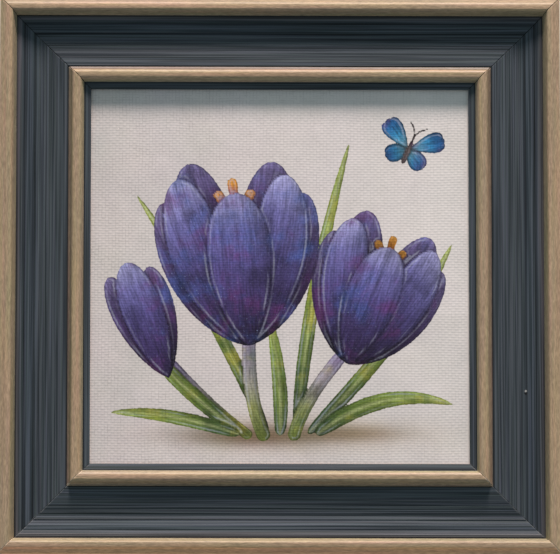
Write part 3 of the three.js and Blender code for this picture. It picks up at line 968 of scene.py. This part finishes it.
def weave_group(name):
    """A plain weave seen through paint: its relief and the painted shade in the gaps between its threads.

    Columns and rows are counted by the place over each pitch. A thread's height is the size of the
    sine of half a turn per thread, and the product of the two sines takes threads over and under.
    Each gap between rows, and between columns, gets painted shade in broken dashes, stronger between
    the rows: noise on the place along the gap and the number of the row or column.
    """
    nodes, given, result = new_group(
        name, {"Place": None, "Column pitch": 0.8 * MM, "Row pitch": 0.6 * MM},
        {"Relief": "NodeSocketFloat", "Gaps": "NodeSocketFloat"})
    wander = nodes.vector("SUBTRACT", nodes.noise(given["Place"], 120.0, 1.0)[1], (0.5, 0.5, 0.5))
    place = nodes.vector("ADD", given["Place"], nodes.vector("MULTIPLY", wander, (THREAD_WANDER,) * 3))
    across, _, up = nodes.parts(place)
    column = nodes.math("DIVIDE", across, given["Column pitch"])
    row = nodes.math("DIVIDE", up, given["Row pitch"])
    column_sine, row_sine = (nodes.math("SINE", nodes.times(number, math.pi)) for number in (column, row))
    column_size, row_size = (nodes.math("ABSOLUTE", sine) for sine in (column_sine, row_sine))
    height = nodes.plus(nodes.times(nodes.math("POWER", row_size, 0.7), 0.36),
                        nodes.times(nodes.math("POWER", column_size, 0.7), 0.40))
    crossing = nodes.times(nodes.times(column_sine, row_sine), 0.18)
    nodes.put(result["Relief"], nodes.plus(height, crossing))

    def dashes(along, number, size, wide, low, high):
        """How much painted shade a gap holds: most in its middle, broken along its length."""
        gap = nodes.joined(nodes.times(along, DASHES), nodes.times(nodes.math("ROUND", number), GAPS_APART))
        broken = nodes.ramp(nodes.noise(gap, 1.0, 2.0, 0.6)[0], 0.34, 0.68, low, high)
        return nodes.times(nodes.ramp(size, 0.0, wide, 1.0, 0.0), broken)

    rows = dashes(across, row, row_size, 0.75, 0.0, 0.95)
    columns = dashes(up, column, column_size, 0.6, 0.1, 0.95)
    patches = nodes.spread(nodes.noise(given["Place"], 160.0)[0], 0.6, 1.2)
    nodes.put(result["Gaps"], nodes.times(nodes.math("MAXIMUM", rows, columns), patches))
    return nodes.tree


# Each painted layer's brush strokes along and across, and the two paints that it shifts towards.
LAYERS = {"greens": (300, 2600, (166, 156, 56), (34, 74, 46)),
          "blooms": (240, 2200, (98, 44, 104), (62, 92, 160))}
PALE_RIM = (196, 200, 216)
PETAL_SPECKLE = (156, 168, 206)


def painted_layer(nodes, name, place, wobble, moods, patches):
    """A layer's paint, where it shows, and the ridges that its brush left.

    The paint is darkened along the borders of its shapes, with a pale rim beside them, broken up by
    brush streaks, and shifted towards two near-by paints by cloudy noise.
    """
    along, across, warm, cool = LAYERS[name]
    edge = nodes.plus(nodes.attribute(name + "_edge"), wobble)
    border = nodes.plus(nodes.attribute(name + "_line"), wobble)
    flow = nodes.attribute(name + "_flow", "Vector")
    brush = streaks(nodes, flow, along, across)[0]
    sweep = streaks(nodes, flow, along / 5, across / 4, 2.0)[0]
    level = nodes.times(nodes.ramp(brush, 0.28, 0.72, 0.74, 1.26), nodes.ramp(sweep, 0.28, 0.72, 0.80, 1.20))
    drawn = nodes.ramp(patches, 0.35, 0.65, 0.50, 0.78)
    level = nodes.times(level, nodes.ramp(border, 0.03, 0.34, drawn, 1.0))
    rim = nodes.ramp(nodes.math("ABSOLUTE", nodes.minus(border, 0.62)), 0.0, 0.4, 1.0, 0.0)
    paint = nodes.attribute(name + "_paint", "Color")
    for tone, share in ((warm, nodes.ramp(moods, 0.50, 0.72, 0.0, 0.55)),
                        (cool, nodes.ramp(patches, 0.50, 0.72, 0.0, 0.50))):
        paint = nodes.mix(share, paint, colour(pigment(*tone)))
    deep = nodes.ramp(moods, 0.50, 0.30, 0.0, 0.42)
    paint = nodes.shade_by(paint, nodes.times(level, nodes.minus(1.0, deep)))
    pale = nodes.times(rim, nodes.ramp(sweep, 0.42, 0.66, 0.0, 0.30))
    paint = nodes.mix(pale, paint, colour(pigment(*PALE_RIM)))
    if name == "blooms":
        flecks = nodes.noise(place, 1700.0, 3.0, 0.75)[0]
        speckled = nodes.times(nodes.ramp(flecks, 0.58, 0.74), nodes.ramp(patches, 0.4, 0.62, 0.15, 0.60))
        paint = nodes.mix(speckled, paint, colour(pigment(*PETAL_SPECKLE)))
    return paint, nodes.ramp(edge, 0.09, -0.09), brush


def canvas_material(settings):
    """Oil paint on primed canvas: the ground and the design's layers over the weave.

    Each layer shows where its outline's distance is negative. The painted shade in the weave's gaps is
    darker through thick paint than through thin, and a little darker on the left of the ground.
    """
    nodes = Finish("Painted canvas")
    place = nodes.object_place()
    fine = nodes.noise(place, 1500.0, 3.0)[0]
    wobble = nodes.times(nodes.minus(fine, 0.5), 0.4)
    cloud = nodes.noise(place, 75.0, 3.0)
    dabs = nodes.noise(place, 420.0, 3.0)[0]
    level = nodes.plus(nodes.spread(cloud[0], 0.965, 1.035), nodes.spread(dabs, -0.02, 0.02))
    ground = nodes.shade_by(nodes.attribute("ground_paint", "Color"), level)
    paint = nodes.mix(0.09, ground, cloud[1], "OVERLAY")
    relief = nodes.times(dabs, 0.3)
    covered = 0.0
    moods = nodes.noise(place, 130.0, 4.0, 0.6)[0]
    patches = nodes.noise(nodes.vector("ADD", place, (0.31, 0.17, 0.53)), 105.0, 4.0, 0.6)[0]
    for name in LAYERS:
        layer, shown, brush = painted_layer(nodes, name, place, wobble, moods, patches)
        paint = nodes.mix(shown, paint, layer)
        covered = nodes.math("MAXIMUM", covered, shown)
        relief = nodes.plus(relief, nodes.times(shown, nodes.times(brush, 0.5)))

    pitches = {"Column pitch": settings.column_pitch, "Row pitch": settings.row_pitch}
    raised, gaps = nodes.group("Weave", weave_group, {"Place": place, **pitches})
    on_ground = nodes.ramp(nodes.parts(place)[0], MIDDLE_X - HALF_SIGHT, MIDDLE_X + HALF_SIGHT, 0.24, 0.13)
    # Painted shade in the weave's gaps, darker under the design's layers than on the ground.
    dark = nodes.minus(1.0, nodes.times(gaps, nodes.between(covered, on_ground, 0.42)))
    front = nodes.attribute("front")
    cloth = nodes.mix(gaps, colour(RAW_CLOTH), colour(CLOTH_GAP))
    rough = nodes.between(front, 0.9, nodes.spread(fine, 0.46, 0.62))
    return nodes.made(nodes.mix(front, cloth, nodes.shade_by(paint, dark)), rough,
                      (0.7, 0.06 * MM, nodes.plus(nodes.times(relief, 0.6), raised)), specular=0.3)


def plain_material(name, base, rough, mottle, scale):
    """A finish with a slight cloudy unevenness."""
    nodes = Finish(name)
    cloud = nodes.noise(nodes.object_place(), scale, 4.0)[0]
    mottled = nodes.mix(nodes.spread(cloud), colour(base, 1 - mottle), colour(base, 1 + mottle))
    return nodes.made(mottled, nodes.spread(cloud, rough - 0.05, rough + 0.05))


def sheet_steel_material():
    """Rolled steel sheet: fine scratches, a cloudy grey and a little rust in spots."""
    nodes = Finish("Steel sheet")
    place = nodes.object_place()
    cloud = nodes.noise(place, 700.0, 4.0)[0]
    spots = nodes.ramp(nodes.noise(place, 1500.0, 5.0, 0.7)[0], 0.60, 0.70)
    bare = nodes.mix(nodes.spread(cloud), colour(DARK_STEEL), colour(LIGHT_STEEL))
    rough = nodes.plus(nodes.spread(cloud, 0.34, 0.5), nodes.times(spots, 0.3))
    scratches = nodes.drawn_noise(place, (9000.0, 600.0, 900.0))
    return nodes.made(nodes.spotted(bare, spots, 0.75, RUST), rough,
                      (0.25, 0.01 * MM, scratches), metallic=nodes.minus(0.92, nodes.times(spots, 0.7)))


def brassed_material():
    """Brass-plated sheet, dulled in clouds and browned where it has tarnished."""
    nodes = Finish("Brassed steel")
    place = nodes.object_place()
    cloud = nodes.ramp(nodes.noise(place, 420.0, 5.0, 0.6)[0], 0.35, 0.68)
    spots = nodes.ramp(nodes.noise(place, 1300.0, 4.0, 0.65)[0], 0.56, 0.72)
    plate = nodes.mix(cloud, colour(DARK_BRASS), colour(LIGHT_BRASS))
    rough = nodes.plus(nodes.ramp(cloud, 0, 1, 0.24, 0.36), nodes.times(spots, 0.22))
    scratches = nodes.drawn_noise(place, (500.0, 2000.0, 7000.0))
    return nodes.made(nodes.spotted(plate, spots, 0.7, TARNISH), rough,
                      (0.25, 0.01 * MM, scratches), metallic=nodes.minus(1.0, nodes.times(spots, 0.3)))


def paper_material(settings):
    """Cream paper: short fibres, slow cockling where the paste took it, and a little foxing."""
    nodes = Finish("Liner paper")
    place = nodes.object_place()
    fibres = nodes.drawn_noise(place, (2600.0, 900.0, 5200.0), 4.0, 0.7)
    slow = nodes.noise(place, 55.0, 3.0)[0]
    foxing = nodes.ramp(nodes.noise(place, 260.0, 4.0, 0.6)[0], 0.66, 0.76)
    tone = nodes.mix(nodes.spread(slow), colour(settings.liner, 0.90), colour(settings.liner, 1.04))
    flecked = nodes.mix(nodes.times(nodes.ramp(fibres, 0.62, 0.74), 0.35), tone, colour(settings.liner, 0.55))
    relief = nodes.plus(nodes.times(slow, 6.0), nodes.times(fibres, 0.25))
    return nodes.made(nodes.spotted(flecked, foxing, 0.5, FOXING),
                      nodes.spread(fibres, 0.82, 0.94), (0.7, 0.12 * MM, relief))


# ------------------------------------------------------------------ pieces


def slot_prisms(side):
    """What is cut into one length for its steel, as (outline, near, far), seen as the top length.

    The outlines are (x, z) points round the picture's middle. Each is the steel's own outline, grown by
    SLOT_CLEARANCE: an L for a V-nail, with its corner on the mitre, a box for a point and a circle for
    a tack.
    """
    clear, past = SLOT_CLEARANCE, BACK_DEPTH + PAST_THE_BACK
    wall = HALF_SIGHT + REBATE_WIDTH
    prisms = []
    for hand in (-1, 1):
        for out in V_NAIL_PLACES:
            tip, inner, outer = out - V_NAIL_LEG - clear, out - V_NAIL_SHEET - clear, out + clear
            corners = ((outer, outer), (tip, outer), (tip, inner), (inner, inner), (inner, tip), (outer, tip))
            outline = [(hand * (HALF_SIGHT + x), HALF_SIGHT + z) for x, z in corners]
            prisms.append((outline, V_NAIL_FRONT - clear, past))
        middle, half = hand * POINT_SPACING / 2, POINT_WIDTH / 2 + clear
        low, high = wall - POINT_IN_REBATE, wall + POINT_IN_WOOD + clear
        outline = [(middle - half, low), (middle + half, low), (middle + half, high), (middle - half, high)]
        prisms.append((outline, POINT_FRONT - clear, POINT_FRONT + POINT_SHEET + clear))
        if side == "top":
            turn = np.linspace(0, 2 * math.pi, TACK_HOLE_SIDES, endpoint=False)
            x, z = TACK_X * hand + TACK_HOLE * np.cos(turn), TACK_Z + TACK_HOLE * np.sin(turn)
            prisms.append((np.stack([x, z], axis=1).tolist(), TACK_END - clear, past))
    return prisms


def cut_slots(piece, side, turns):
    """Takes the slots and holes out of a length; their walls are bare wood."""
    points, faces = [], []
    for outline, near, far in slot_prisms(side):
        first, count = len(points), len(outline)
        points += [(x, depth, z) for depth in (near, far) for x, z in outline]
        front = list(range(first, first + count))
        ahead = front[1:] + front[:1]
        faces += [front, [i + count for i in reversed(front)]]
        faces += [(i, j, j + count, i + count) for i, j in zip(front, ahead)]
    mesh = bpy.data.meshes.new("slots")
    mesh.from_pydata(placed(turned(np.array(points), turns)).tolist(), [], faces)
    shape = bmesh.new()
    shape.from_mesh(mesh)
    bmesh.ops.recalc_face_normals(shape, faces=shape.faces)
    shape.to_mesh(mesh)
    shape.free()
    for material in piece.data.materials:
        mesh.materials.append(material)
    mesh.polygons.foreach_set("material_index", np.full(len(mesh.polygons), WOOD, np.int32))
    cutter = add_object("slots", mesh)
    taking = piece.modifiers.new("Slots", "BOOLEAN")
    taking.operation, taking.solver, taking.object = "DIFFERENCE", "EXACT", cutter
    graph = bpy.context.evaluated_depsgraph_get()
    cut = bpy.data.meshes.new_from_object(piece.evaluated_get(graph))
    piece.modifiers.clear()
    whole = piece.data
    piece.data = cut
    cut.name = piece.name
    cut.set_sharp_from_angle(angle=SHARP_ANGLE)
    bpy.data.objects.remove(cutter)
    for spent in (whole, mesh):
        bpy.data.meshes.remove(spent)


def stations(side, outline):
    """Where the points of a length lie along it, and how far each is from the nearer mitre.

    Each point of the section has a row of places, close together at the mitres and even between. A
    row ends short of each mitre by its gap, which is widest at the front.
    """
    out, height = outline[:, :1], outline[:, 1:]
    share = MITRE_GAP_AT_BACK + (1 - MITRE_GAP_AT_BACK) * (height + BACK_DEPTH) / (BACK_DEPTH + height.max())
    left, right = (HALF_SIGHT + out - MITRE_GAP[mitre] * share for mitre in END_MITRES[side])
    along = np.concatenate([STATIONS_AT_MITRE - left, STATIONS_BETWEEN * (left - BETWEEN_FROM),
                            right - STATIONS_AT_MITRE[::-1]], axis=1)
    return along, np.minimum(left + along, right - along)


def build_length(side, turns, outline, finish, materials, comb_depth):
    """One length: the section carried along it, combed, worn at its mitres and cut for its steel."""
    along, from_end = stations(side, outline)
    rows, columns = along.shape
    out, height = (np.broadcast_to(values[:, None], along.shape) for values in outline.T)
    front = (finish != WOOD)[:, None] & (height > COMBED_ABOVE)
    ridges = combing(out, along, RIDGE_SEED + turns, comb_depth)
    ridges = ridges * np.where(finish == GILDING, GILDED_RIDGES, 1.0)[:, None]
    sunk = MITRE_EASE * np.clip(1 - from_end / MITRE_EASE_WIDTH, 0, 1) ** 2
    surface = height + np.where(front, ridges, 0) - np.where(front, sunk, 0)
    points = np.stack([along, -surface, HALF_SIGHT + out], axis=-1).reshape(-1, 3)
    left_end = np.arange(rows) * columns
    right_end = (left_end + columns - 1)[::-1]
    faces = [*grid_faces(rows, columns, closed_rows=True).tolist(), left_end.tolist(), right_end.tolist()]
    name = f"rail_{side}_finished"
    mesh = new_mesh(name, placed(turned(points, turns)), faces, materials)
    kinds = np.concatenate([np.repeat(finish, columns - 1), [SLATE, SLATE]])
    mesh.polygons.foreach_set("material_index", kinds.astype(np.int32))
    left_wear, right_wear = (MITRE_WEAR[mitre] for mitre in END_MITRES[side])
    wear = np.where(along < 0, left_wear, right_wear) * np.exp(-((from_end / MITRE_WEAR_WIDTH) ** 2))
    add_attribute(mesh, "toned_and_shaded", np.broadcast_to(toning_and_shade(outline, finish, side)[:, None], along.shape))
    add_attribute(mesh, "worn", wear)
    add_attribute(mesh, "run", np.stack([along + RUN_APART * turns, out, height], axis=-1))
    cut_slots(add_piece(name, mesh, f"rail_{side}"), side, turns)


def build_moulding():
    """Four lengths of moulding, each modelled as the top one and turned into its place."""
    settings = bpy.context.scene.moulding
    materials = (slate_material(settings), gilding_material(settings), bare_wood_material(settings))
    outline, finish = moulding_section()
    for turns, side in enumerate(SIDES):
        build_length(side, turns, outline, finish, materials, settings.comb_depth)


def canvas_rings():
    """How the canvas turns over the board, as (out, depth): edge, side, back, rim and inner skin."""
    far, deep, thick = HALF_PICTURE, CANVAS_DEPTH, CANVAS_THICKNESS
    turn = np.linspace(0, math.pi / 2, 6)
    across, along = EDGE_ROUND * np.sin(turn), EDGE_ROUND * np.cos(turn)
    front_edge = np.stack([far - EDGE_ROUND + across, EDGE_ROUND - along], axis=1)
    back_edge = np.stack([far - EDGE_ROUND + along, deep - EDGE_ROUND + across], axis=1)
    flap = np.array([(far - FLAP_BEND, deep), (far - TURNOVER + FLAP_EDGE, deep),
                     (far - TURNOVER, deep - FLAP_DROP), (far - TURNOVER, deep - thick),
                     (far - thick, deep - thick), (far - thick, thick)])
    return np.concatenate([front_edge, back_edge, flap])


def build_picture():
    """The canvas as one closed skin: a fine front, rounded edges and flaps turned over at the back.

    The front is a square grid. From its border, rings of points follow the section of the turned-over
    edge, each ring a square of its own size, and the last ring closes with one flat face.
    """
    settings = bpy.context.scene.picture
    rings = canvas_rings()
    half, count = rings[0, 0], CANVAS_COLUMNS
    across = count + 1
    x, z = np.meshgrid(np.linspace(-1, 1, across) * half, np.linspace(-1, 1, across) * half)
    front = np.stack([x, np.zeros_like(x), z], axis=-1).reshape(-1, 3)
    step = np.arange(count)
    border = np.concatenate([step, count + step * across, across ** 2 - 1 - step, (count - step) * across])
    unit = front[border] / half
    at_corner = np.abs(unit[:, 0]) + np.abs(unit[:, 2]) > NEAR_CORNER
    loops = []
    for out, depth in rings[1:]:
        loop = unit * out
        loop[:, 1] = np.where(at_corner & (depth > CANVAS_DEPTH - FLAT_OF_BACK), depth - CORNER_FOLD, depth)
        loops.append(loop)
    points = np.concatenate([front] + loops)
    loop_ids = across ** 2 + np.arange(len(loops) * len(border)).reshape(len(loops), -1)
    ring_ids = np.concatenate([border[None, :], loop_ids])
    ahead = np.roll(ring_ids, -1, axis=1)
    sides = np.stack([ring_ids[:-1], ahead[:-1], ahead[1:], ring_ids[1:]], axis=-1).reshape(-1, 4)
    faces = [*grid_faces(across, across)[:, ::-1].tolist(), *sides[:, ::-1].tolist(), ring_ids[-1].tolist()]
    mesh = new_mesh("canvas_painted", placed(points), faces, [canvas_material(settings)])
    ground, greens, blooms = paint_design(points[:, 0] / MM, points[:, 2] / MM)
    add_attribute(mesh, "ground_paint", ground)
    for name, layer in (("greens", greens), ("blooms", blooms)):
        add_attribute(mesh, name + "_edge", layer.edge)
        add_attribute(mesh, name + "_line", layer.line)
        add_attribute(mesh, name + "_paint", layer.paint)
        add_attribute(mesh, name + "_flow", layer.flow * MM)
    add_attribute(mesh, "front", points[:, 1] < CANVAS_DEPTH / 2)
    piece = add_piece("canvas_painted", mesh, "canvas")


def dress(node, material):
    """Gives a carried-over solid its finish."""
    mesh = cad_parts[node].data
    mesh.materials.clear()
    mesh.materials.append(material)


def rounded_copy(node, width, material):
    """A copy of a carried-over solid whose sharp edges are rounded by width, in its place."""
    shape = bmesh.new()
    shape.from_mesh(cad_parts[node].data)
    bmesh.ops.remove_doubles(shape, verts=shape.verts, dist=SAME_POINT)
    bmesh.ops.dissolve_limit(shape, angle_limit=FLAT_ANGLE, verts=shape.verts, edges=shape.edges)
    sharp = [edge for edge in shape.edges if edge.is_manifold and edge.calc_face_angle() > ROUNDED_ANGLE]
    bmesh.ops.bevel(shape, geom=sharp, offset=width, offset_type="OFFSET", segments=ROUNDING_STEPS,
                    profile=0.5, affect="EDGES", clamp_overlap=True)
    bmesh.ops.triangulate(shape, faces=[face for face in shape.faces if len(face.verts) > 4])
    bmesh.ops.recalc_face_normals(shape, faces=shape.faces)
    mesh = bpy.data.meshes.new(node + "_finished")
    shape.to_mesh(mesh)
    shape.free()
    mesh.shade_smooth()
    mesh.set_sharp_from_angle(angle=COPY_SHARP_ANGLE)
    mesh.materials.append(material)
    add_piece(node + "_finished", mesh, node)


def turned_piece(node, profile, material, sides):
    """A round piece turned about its node's own y axis from a profile of (radius, depth) points.

    Point i of the profile becomes a ring: x = middle + radius cos t, y = low + depth, z = middle +
    radius sin t. The first and last points lie on the axis and close the ends.
    """
    low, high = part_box(node)
    centre = np.array([(low.x + high.x) / 2, low.y, (low.z + high.z) / 2])
    profile = np.array(profile)
    turn = np.linspace(0, 2 * math.pi, sides, endpoint=False)
    radius, depth = profile[1:-1, :1], profile[1:-1, 1:]
    rings = np.stack([radius * np.cos(turn), depth + 0 * turn, radius * np.sin(turn)], axis=-1)
    ends = np.stack([[0, 0], profile[[0, -1], 1], [0, 0]], axis=1)
    points = centre + np.concatenate([rings.reshape(-1, 3), ends])
    here = np.arange(sides)
    ahead = (here + 1) % sides
    start = np.arange(len(rings) - 1)[:, None] * sides
    walls = np.stack([start + here, start + ahead, start + sides + ahead, start + sides + here], axis=-1)
    first, last = len(points) - 2, len(points) - 1
    final = (len(rings) - 1) * sides
    caps = [np.stack([0 * here + first, ahead, here], axis=1),
            np.stack([0 * here + last, final + here, final + ahead], axis=1)]
    faces = [*walls.reshape(-1, 4).tolist(), *np.concatenate(caps).tolist()]
    mesh = new_mesh(node + "_finished", points, faces, [material])
    mesh.set_sharp_from_angle(angle=SHARP_ANGLE)
    add_piece(node + "_finished", mesh, node)


def tack_profile():
    """A tack: a sharp shank under a domed head with a small flat where the hammer fell."""
    shank, head, dome, long = 0.6 * MM, 1.7 * MM, 0.9 * MM, 8 * MM
    turn = np.linspace(0, math.radians(78), 12)[1:]
    domed = np.stack([head * np.cos(turn), long + dome * np.sin(turn) * 0.99], axis=1)
    return [(0, 0), (0.05 * MM, 0.06 * MM), (shank, 1.2 * MM), (shank, long - 0.06 * MM),
            (shank + 0.06 * MM, long), (head - 0.12 * MM, long), (head, long + 0.03 * MM),
            *domed.tolist(), (0, domed[-1, 1] + 0.002 * MM)]


def bumper_profile():
    """A soft bumper: straight sides, a rolled outer edge and a face very slightly dished."""
    radius, height, roll, dish = 4 * MM, 2.5 * MM, 0.8 * MM, 0.12 * MM
    turn = np.linspace(0, math.pi / 2, 10)
    rolled = np.stack([radius - roll + roll * np.cos(turn), height - roll + roll * np.sin(turn)], axis=1)
    dished = [(radius * share, height - dish * (1 - (share / 0.8) ** 2))
              for share in (0.65, 0.5, 0.35, 0.2, 0.08, 0)]
    return [(0, 0), (radius - 0.35 * MM, 0), (radius - 0.1 * MM, 0.1 * MM), (radius, 0.35 * MM),
            *rolled.tolist(), *dished]


def build_fittings():
    """The board, liner, points, nails, hanger, tacks and bumpers."""
    settings = bpy.context.scene.fittings
    steel, brassed = sheet_steel_material(), brassed_material()
    rubber = plain_material("Rubber", BLACK_RUBBER, 0.62, 0.18, 2600.0)
    dress("board", plain_material("Fibreboard", settings.board, 0.85, 0.2, 1800.0))
    rounded_copy("liner", LINER_ROUNDING, paper_material(settings))
    rounded_copy("hanger", HANGER_ROUNDING, brassed)
    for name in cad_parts:
        if name.startswith("point_"):
            rounded_copy(name, POINT_ROUNDING, steel)
        if name.startswith("v_nail_"):
            rounded_copy(name, V_NAIL_ROUNDING, steel)
        if name.startswith("tack_"):
            turned_piece(name, tack_profile(), brassed, TACK_SIDES)
        if name.startswith("bumper_"):
            turned_piece(name, bumper_profile(), rubber, BUMPER_SIDES)


# ------------------------------------------------------------------ stage

VIEW_BELOW = math.radians(8.8)
VIEW_LEFT = math.radians(0.779)
VIEW_DISTANCE = 1.5153
VIEW_AIM = np.array([0.04, 0, -0.18]) * MM
LENS = 399.85
SENSOR_WIDTH = 36.0
FLOOR_HALF = 6.0
FLOOR_COLOUR = (226, 222, 216)
LIGHT_TILT = math.radians(71.2)
LIGHT_LEAN = math.radians(4)
KEY_DIRECTION = (math.sin(LIGHT_TILT) * math.sin(LIGHT_LEAN), -math.cos(LIGHT_TILT),
                 math.sin(LIGHT_TILT) * math.cos(LIGHT_LEAN))
KEY_TINT = (1.0, 0.845, 0.79)
# Each lamp's name, direction, distance, size, tint and power; the key light's power is a setting.
LAMPS = (
    ("key", KEY_DIRECTION, 3.0, 0.6, KEY_TINT, None),
    ("back_light", (0.35, 0.75, 0.55), 1.5, 0.8, (1.0, 0.97, 0.94), 12.0),
    ("warm_light_from_below", (0, 0.06, -1), 0.30, 0.03, (1.0, 0.5, 0.24), 0.6),
)
SEEN_SURROUND = (0.75, 0.68, 0.58)
AMBIENT_LIGHT = (0.234, 0.278, 0.292)


def add_aimed(name, data, place, direction):
    """An object at a place, looking along a direction."""
    aimed = add_object(name, data)
    aimed.location = place
    aimed.rotation_mode = "QUATERNION"
    aimed.rotation_quaternion = Vector(direction).to_track_quat("-Z", "Y")
    return aimed


def build_floor(level):
    """A plain pale floor that throws no light back."""
    half = FLOOR_HALF
    mesh = bpy.data.meshes.new("floor")
    mesh.from_pydata([(-half, -half, level), (half, -half, level), (half, half, level), (-half, half, level)],
                     [], [(0, 1, 2, 3)])
    mesh.materials.append(Finish("Floor").made(linear(*FLOOR_COLOUR), 0.9))
    floor = add_object("floor", mesh)
    floor.visible_diffuse = False
    floor.visible_glossy = False


def build_surround(scene):
    """An even surround, one colour to the eye and a cooler one as light."""
    world = bpy.data.worlds.new("surround")
    scene.world = world
    world.use_nodes = True
    nodes = Nodes(world.node_tree)
    nodes.tree.nodes.clear()
    ambient, seen = (nodes.add("ShaderNodeBackground", {"Color": colour(tone), "Strength": 1.0}).outputs[0]
                     for tone in (AMBIENT_LIGHT, SEEN_SURROUND))
    to_the_eye = nodes.add("ShaderNodeLightPath").outputs["Is Camera Ray"]
    mixed = nodes.add("ShaderNodeMixShader", {0: to_the_eye, 1: ambient, 2: seen})
    nodes.add("ShaderNodeOutputWorld", {0: mixed.outputs[0]})


def build_stage():
    """A plain pale floor, a soft key light from above, weaker lamps, an even surround and the camera."""
    settings = bpy.context.scene.stage
    scene = bpy.context.scene
    scene.view_settings.view_transform = "Standard"
    build_floor(settings.floor_level)
    build_surround(scene)

    for name, direction, distance, size, tint, power in LAMPS:
        lamp = bpy.data.lights.new(name, "AREA")
        lamp.shape = "DISK"
        lamp.size = size
        lamp.energy = power or settings.key_strength
        lamp.color = tint
        direction = np.array(direction)
        add_aimed(name, lamp, MIDDLE + direction * distance, -direction).visible_camera = False

    lens = bpy.data.cameras.new("camera")
    lens.lens = LENS
    lens.sensor_width = SENSOR_WIDTH
    lens.clip_start, lens.clip_end = 0.05, 100.0
    back = -np.array([math.sin(VIEW_LEFT) * math.cos(VIEW_BELOW), math.cos(VIEW_LEFT) * math.cos(VIEW_BELOW),
                      math.sin(VIEW_BELOW)])
    scene.camera = add_aimed("camera", lens, MIDDLE + VIEW_AIM + back * VIEW_DISTANCE, -back)


# ------------------------------------------------------------------ operators and panel


class PICTURE_OT_moulding(bpy.types.Operator):
    """Build the four lengths of moulding"""

    bl_idname = "picture.moulding"
    bl_label = "Moulding"

    def execute(self, context):
        build_moulding()
        return {"FINISHED"}


class PICTURE_OT_picture(bpy.types.Operator):
    """Build the painted canvas"""

    bl_idname = "picture.picture"
    bl_label = "Picture"

    def execute(self, context):
        build_picture()
        return {"FINISHED"}


class PICTURE_OT_fittings(bpy.types.Operator):
    """Finish the board and the fittings at the back"""

    bl_idname = "picture.fittings"
    bl_label = "Fittings"

    def execute(self, context):
        build_fittings()
        return {"FINISHED"}


class PICTURE_OT_stage(bpy.types.Operator):
    """Make the floor, lights and camera"""

    bl_idname = "picture.stage"
    bl_label = "Stage"

    def execute(self, context):
        build_stage()
        return {"FINISHED"}


OPERATORS = (PICTURE_OT_moulding, PICTURE_OT_picture, PICTURE_OT_fittings, PICTURE_OT_stage)


class PICTURE_PT_panel(bpy.types.Panel):
    """Lists the pieces of the framed picture"""

    bl_label = "Framed picture"
    bl_idname = "PICTURE_PT_panel"
    bl_space_type = "VIEW_3D"
    bl_region_type = "UI"
    bl_category = "Picture"

    def draw(self, context):
        for operator in OPERATORS:
            self.layout.operator(operator.bl_idname)
        for name, settings in SETTINGS:
            box = self.layout.box()
            for key in settings.__annotations__:
                box.prop(getattr(context.scene, name), key)


def register():
    for _, settings in SETTINGS:
        bpy.utils.register_class(settings)
    for name, settings in SETTINGS:
        setattr(bpy.types.Scene, name, bpy.props.PointerProperty(type=settings))
    for kind in (*OPERATORS, PICTURE_PT_panel):
        bpy.utils.register_class(kind)


def unregister():
    for kind in (PICTURE_PT_panel, *reversed(OPERATORS)):
        bpy.utils.unregister_class(kind)
    for name, settings in reversed(SETTINGS):
        delattr(bpy.types.Scene, name)
        bpy.utils.unregister_class(settings)


def main():
    register()
    for operator in ("moulding", "picture", "fittings", "stage"):
        getattr(bpy.ops.picture, operator)()


if __name__ == "__main__":
    main()
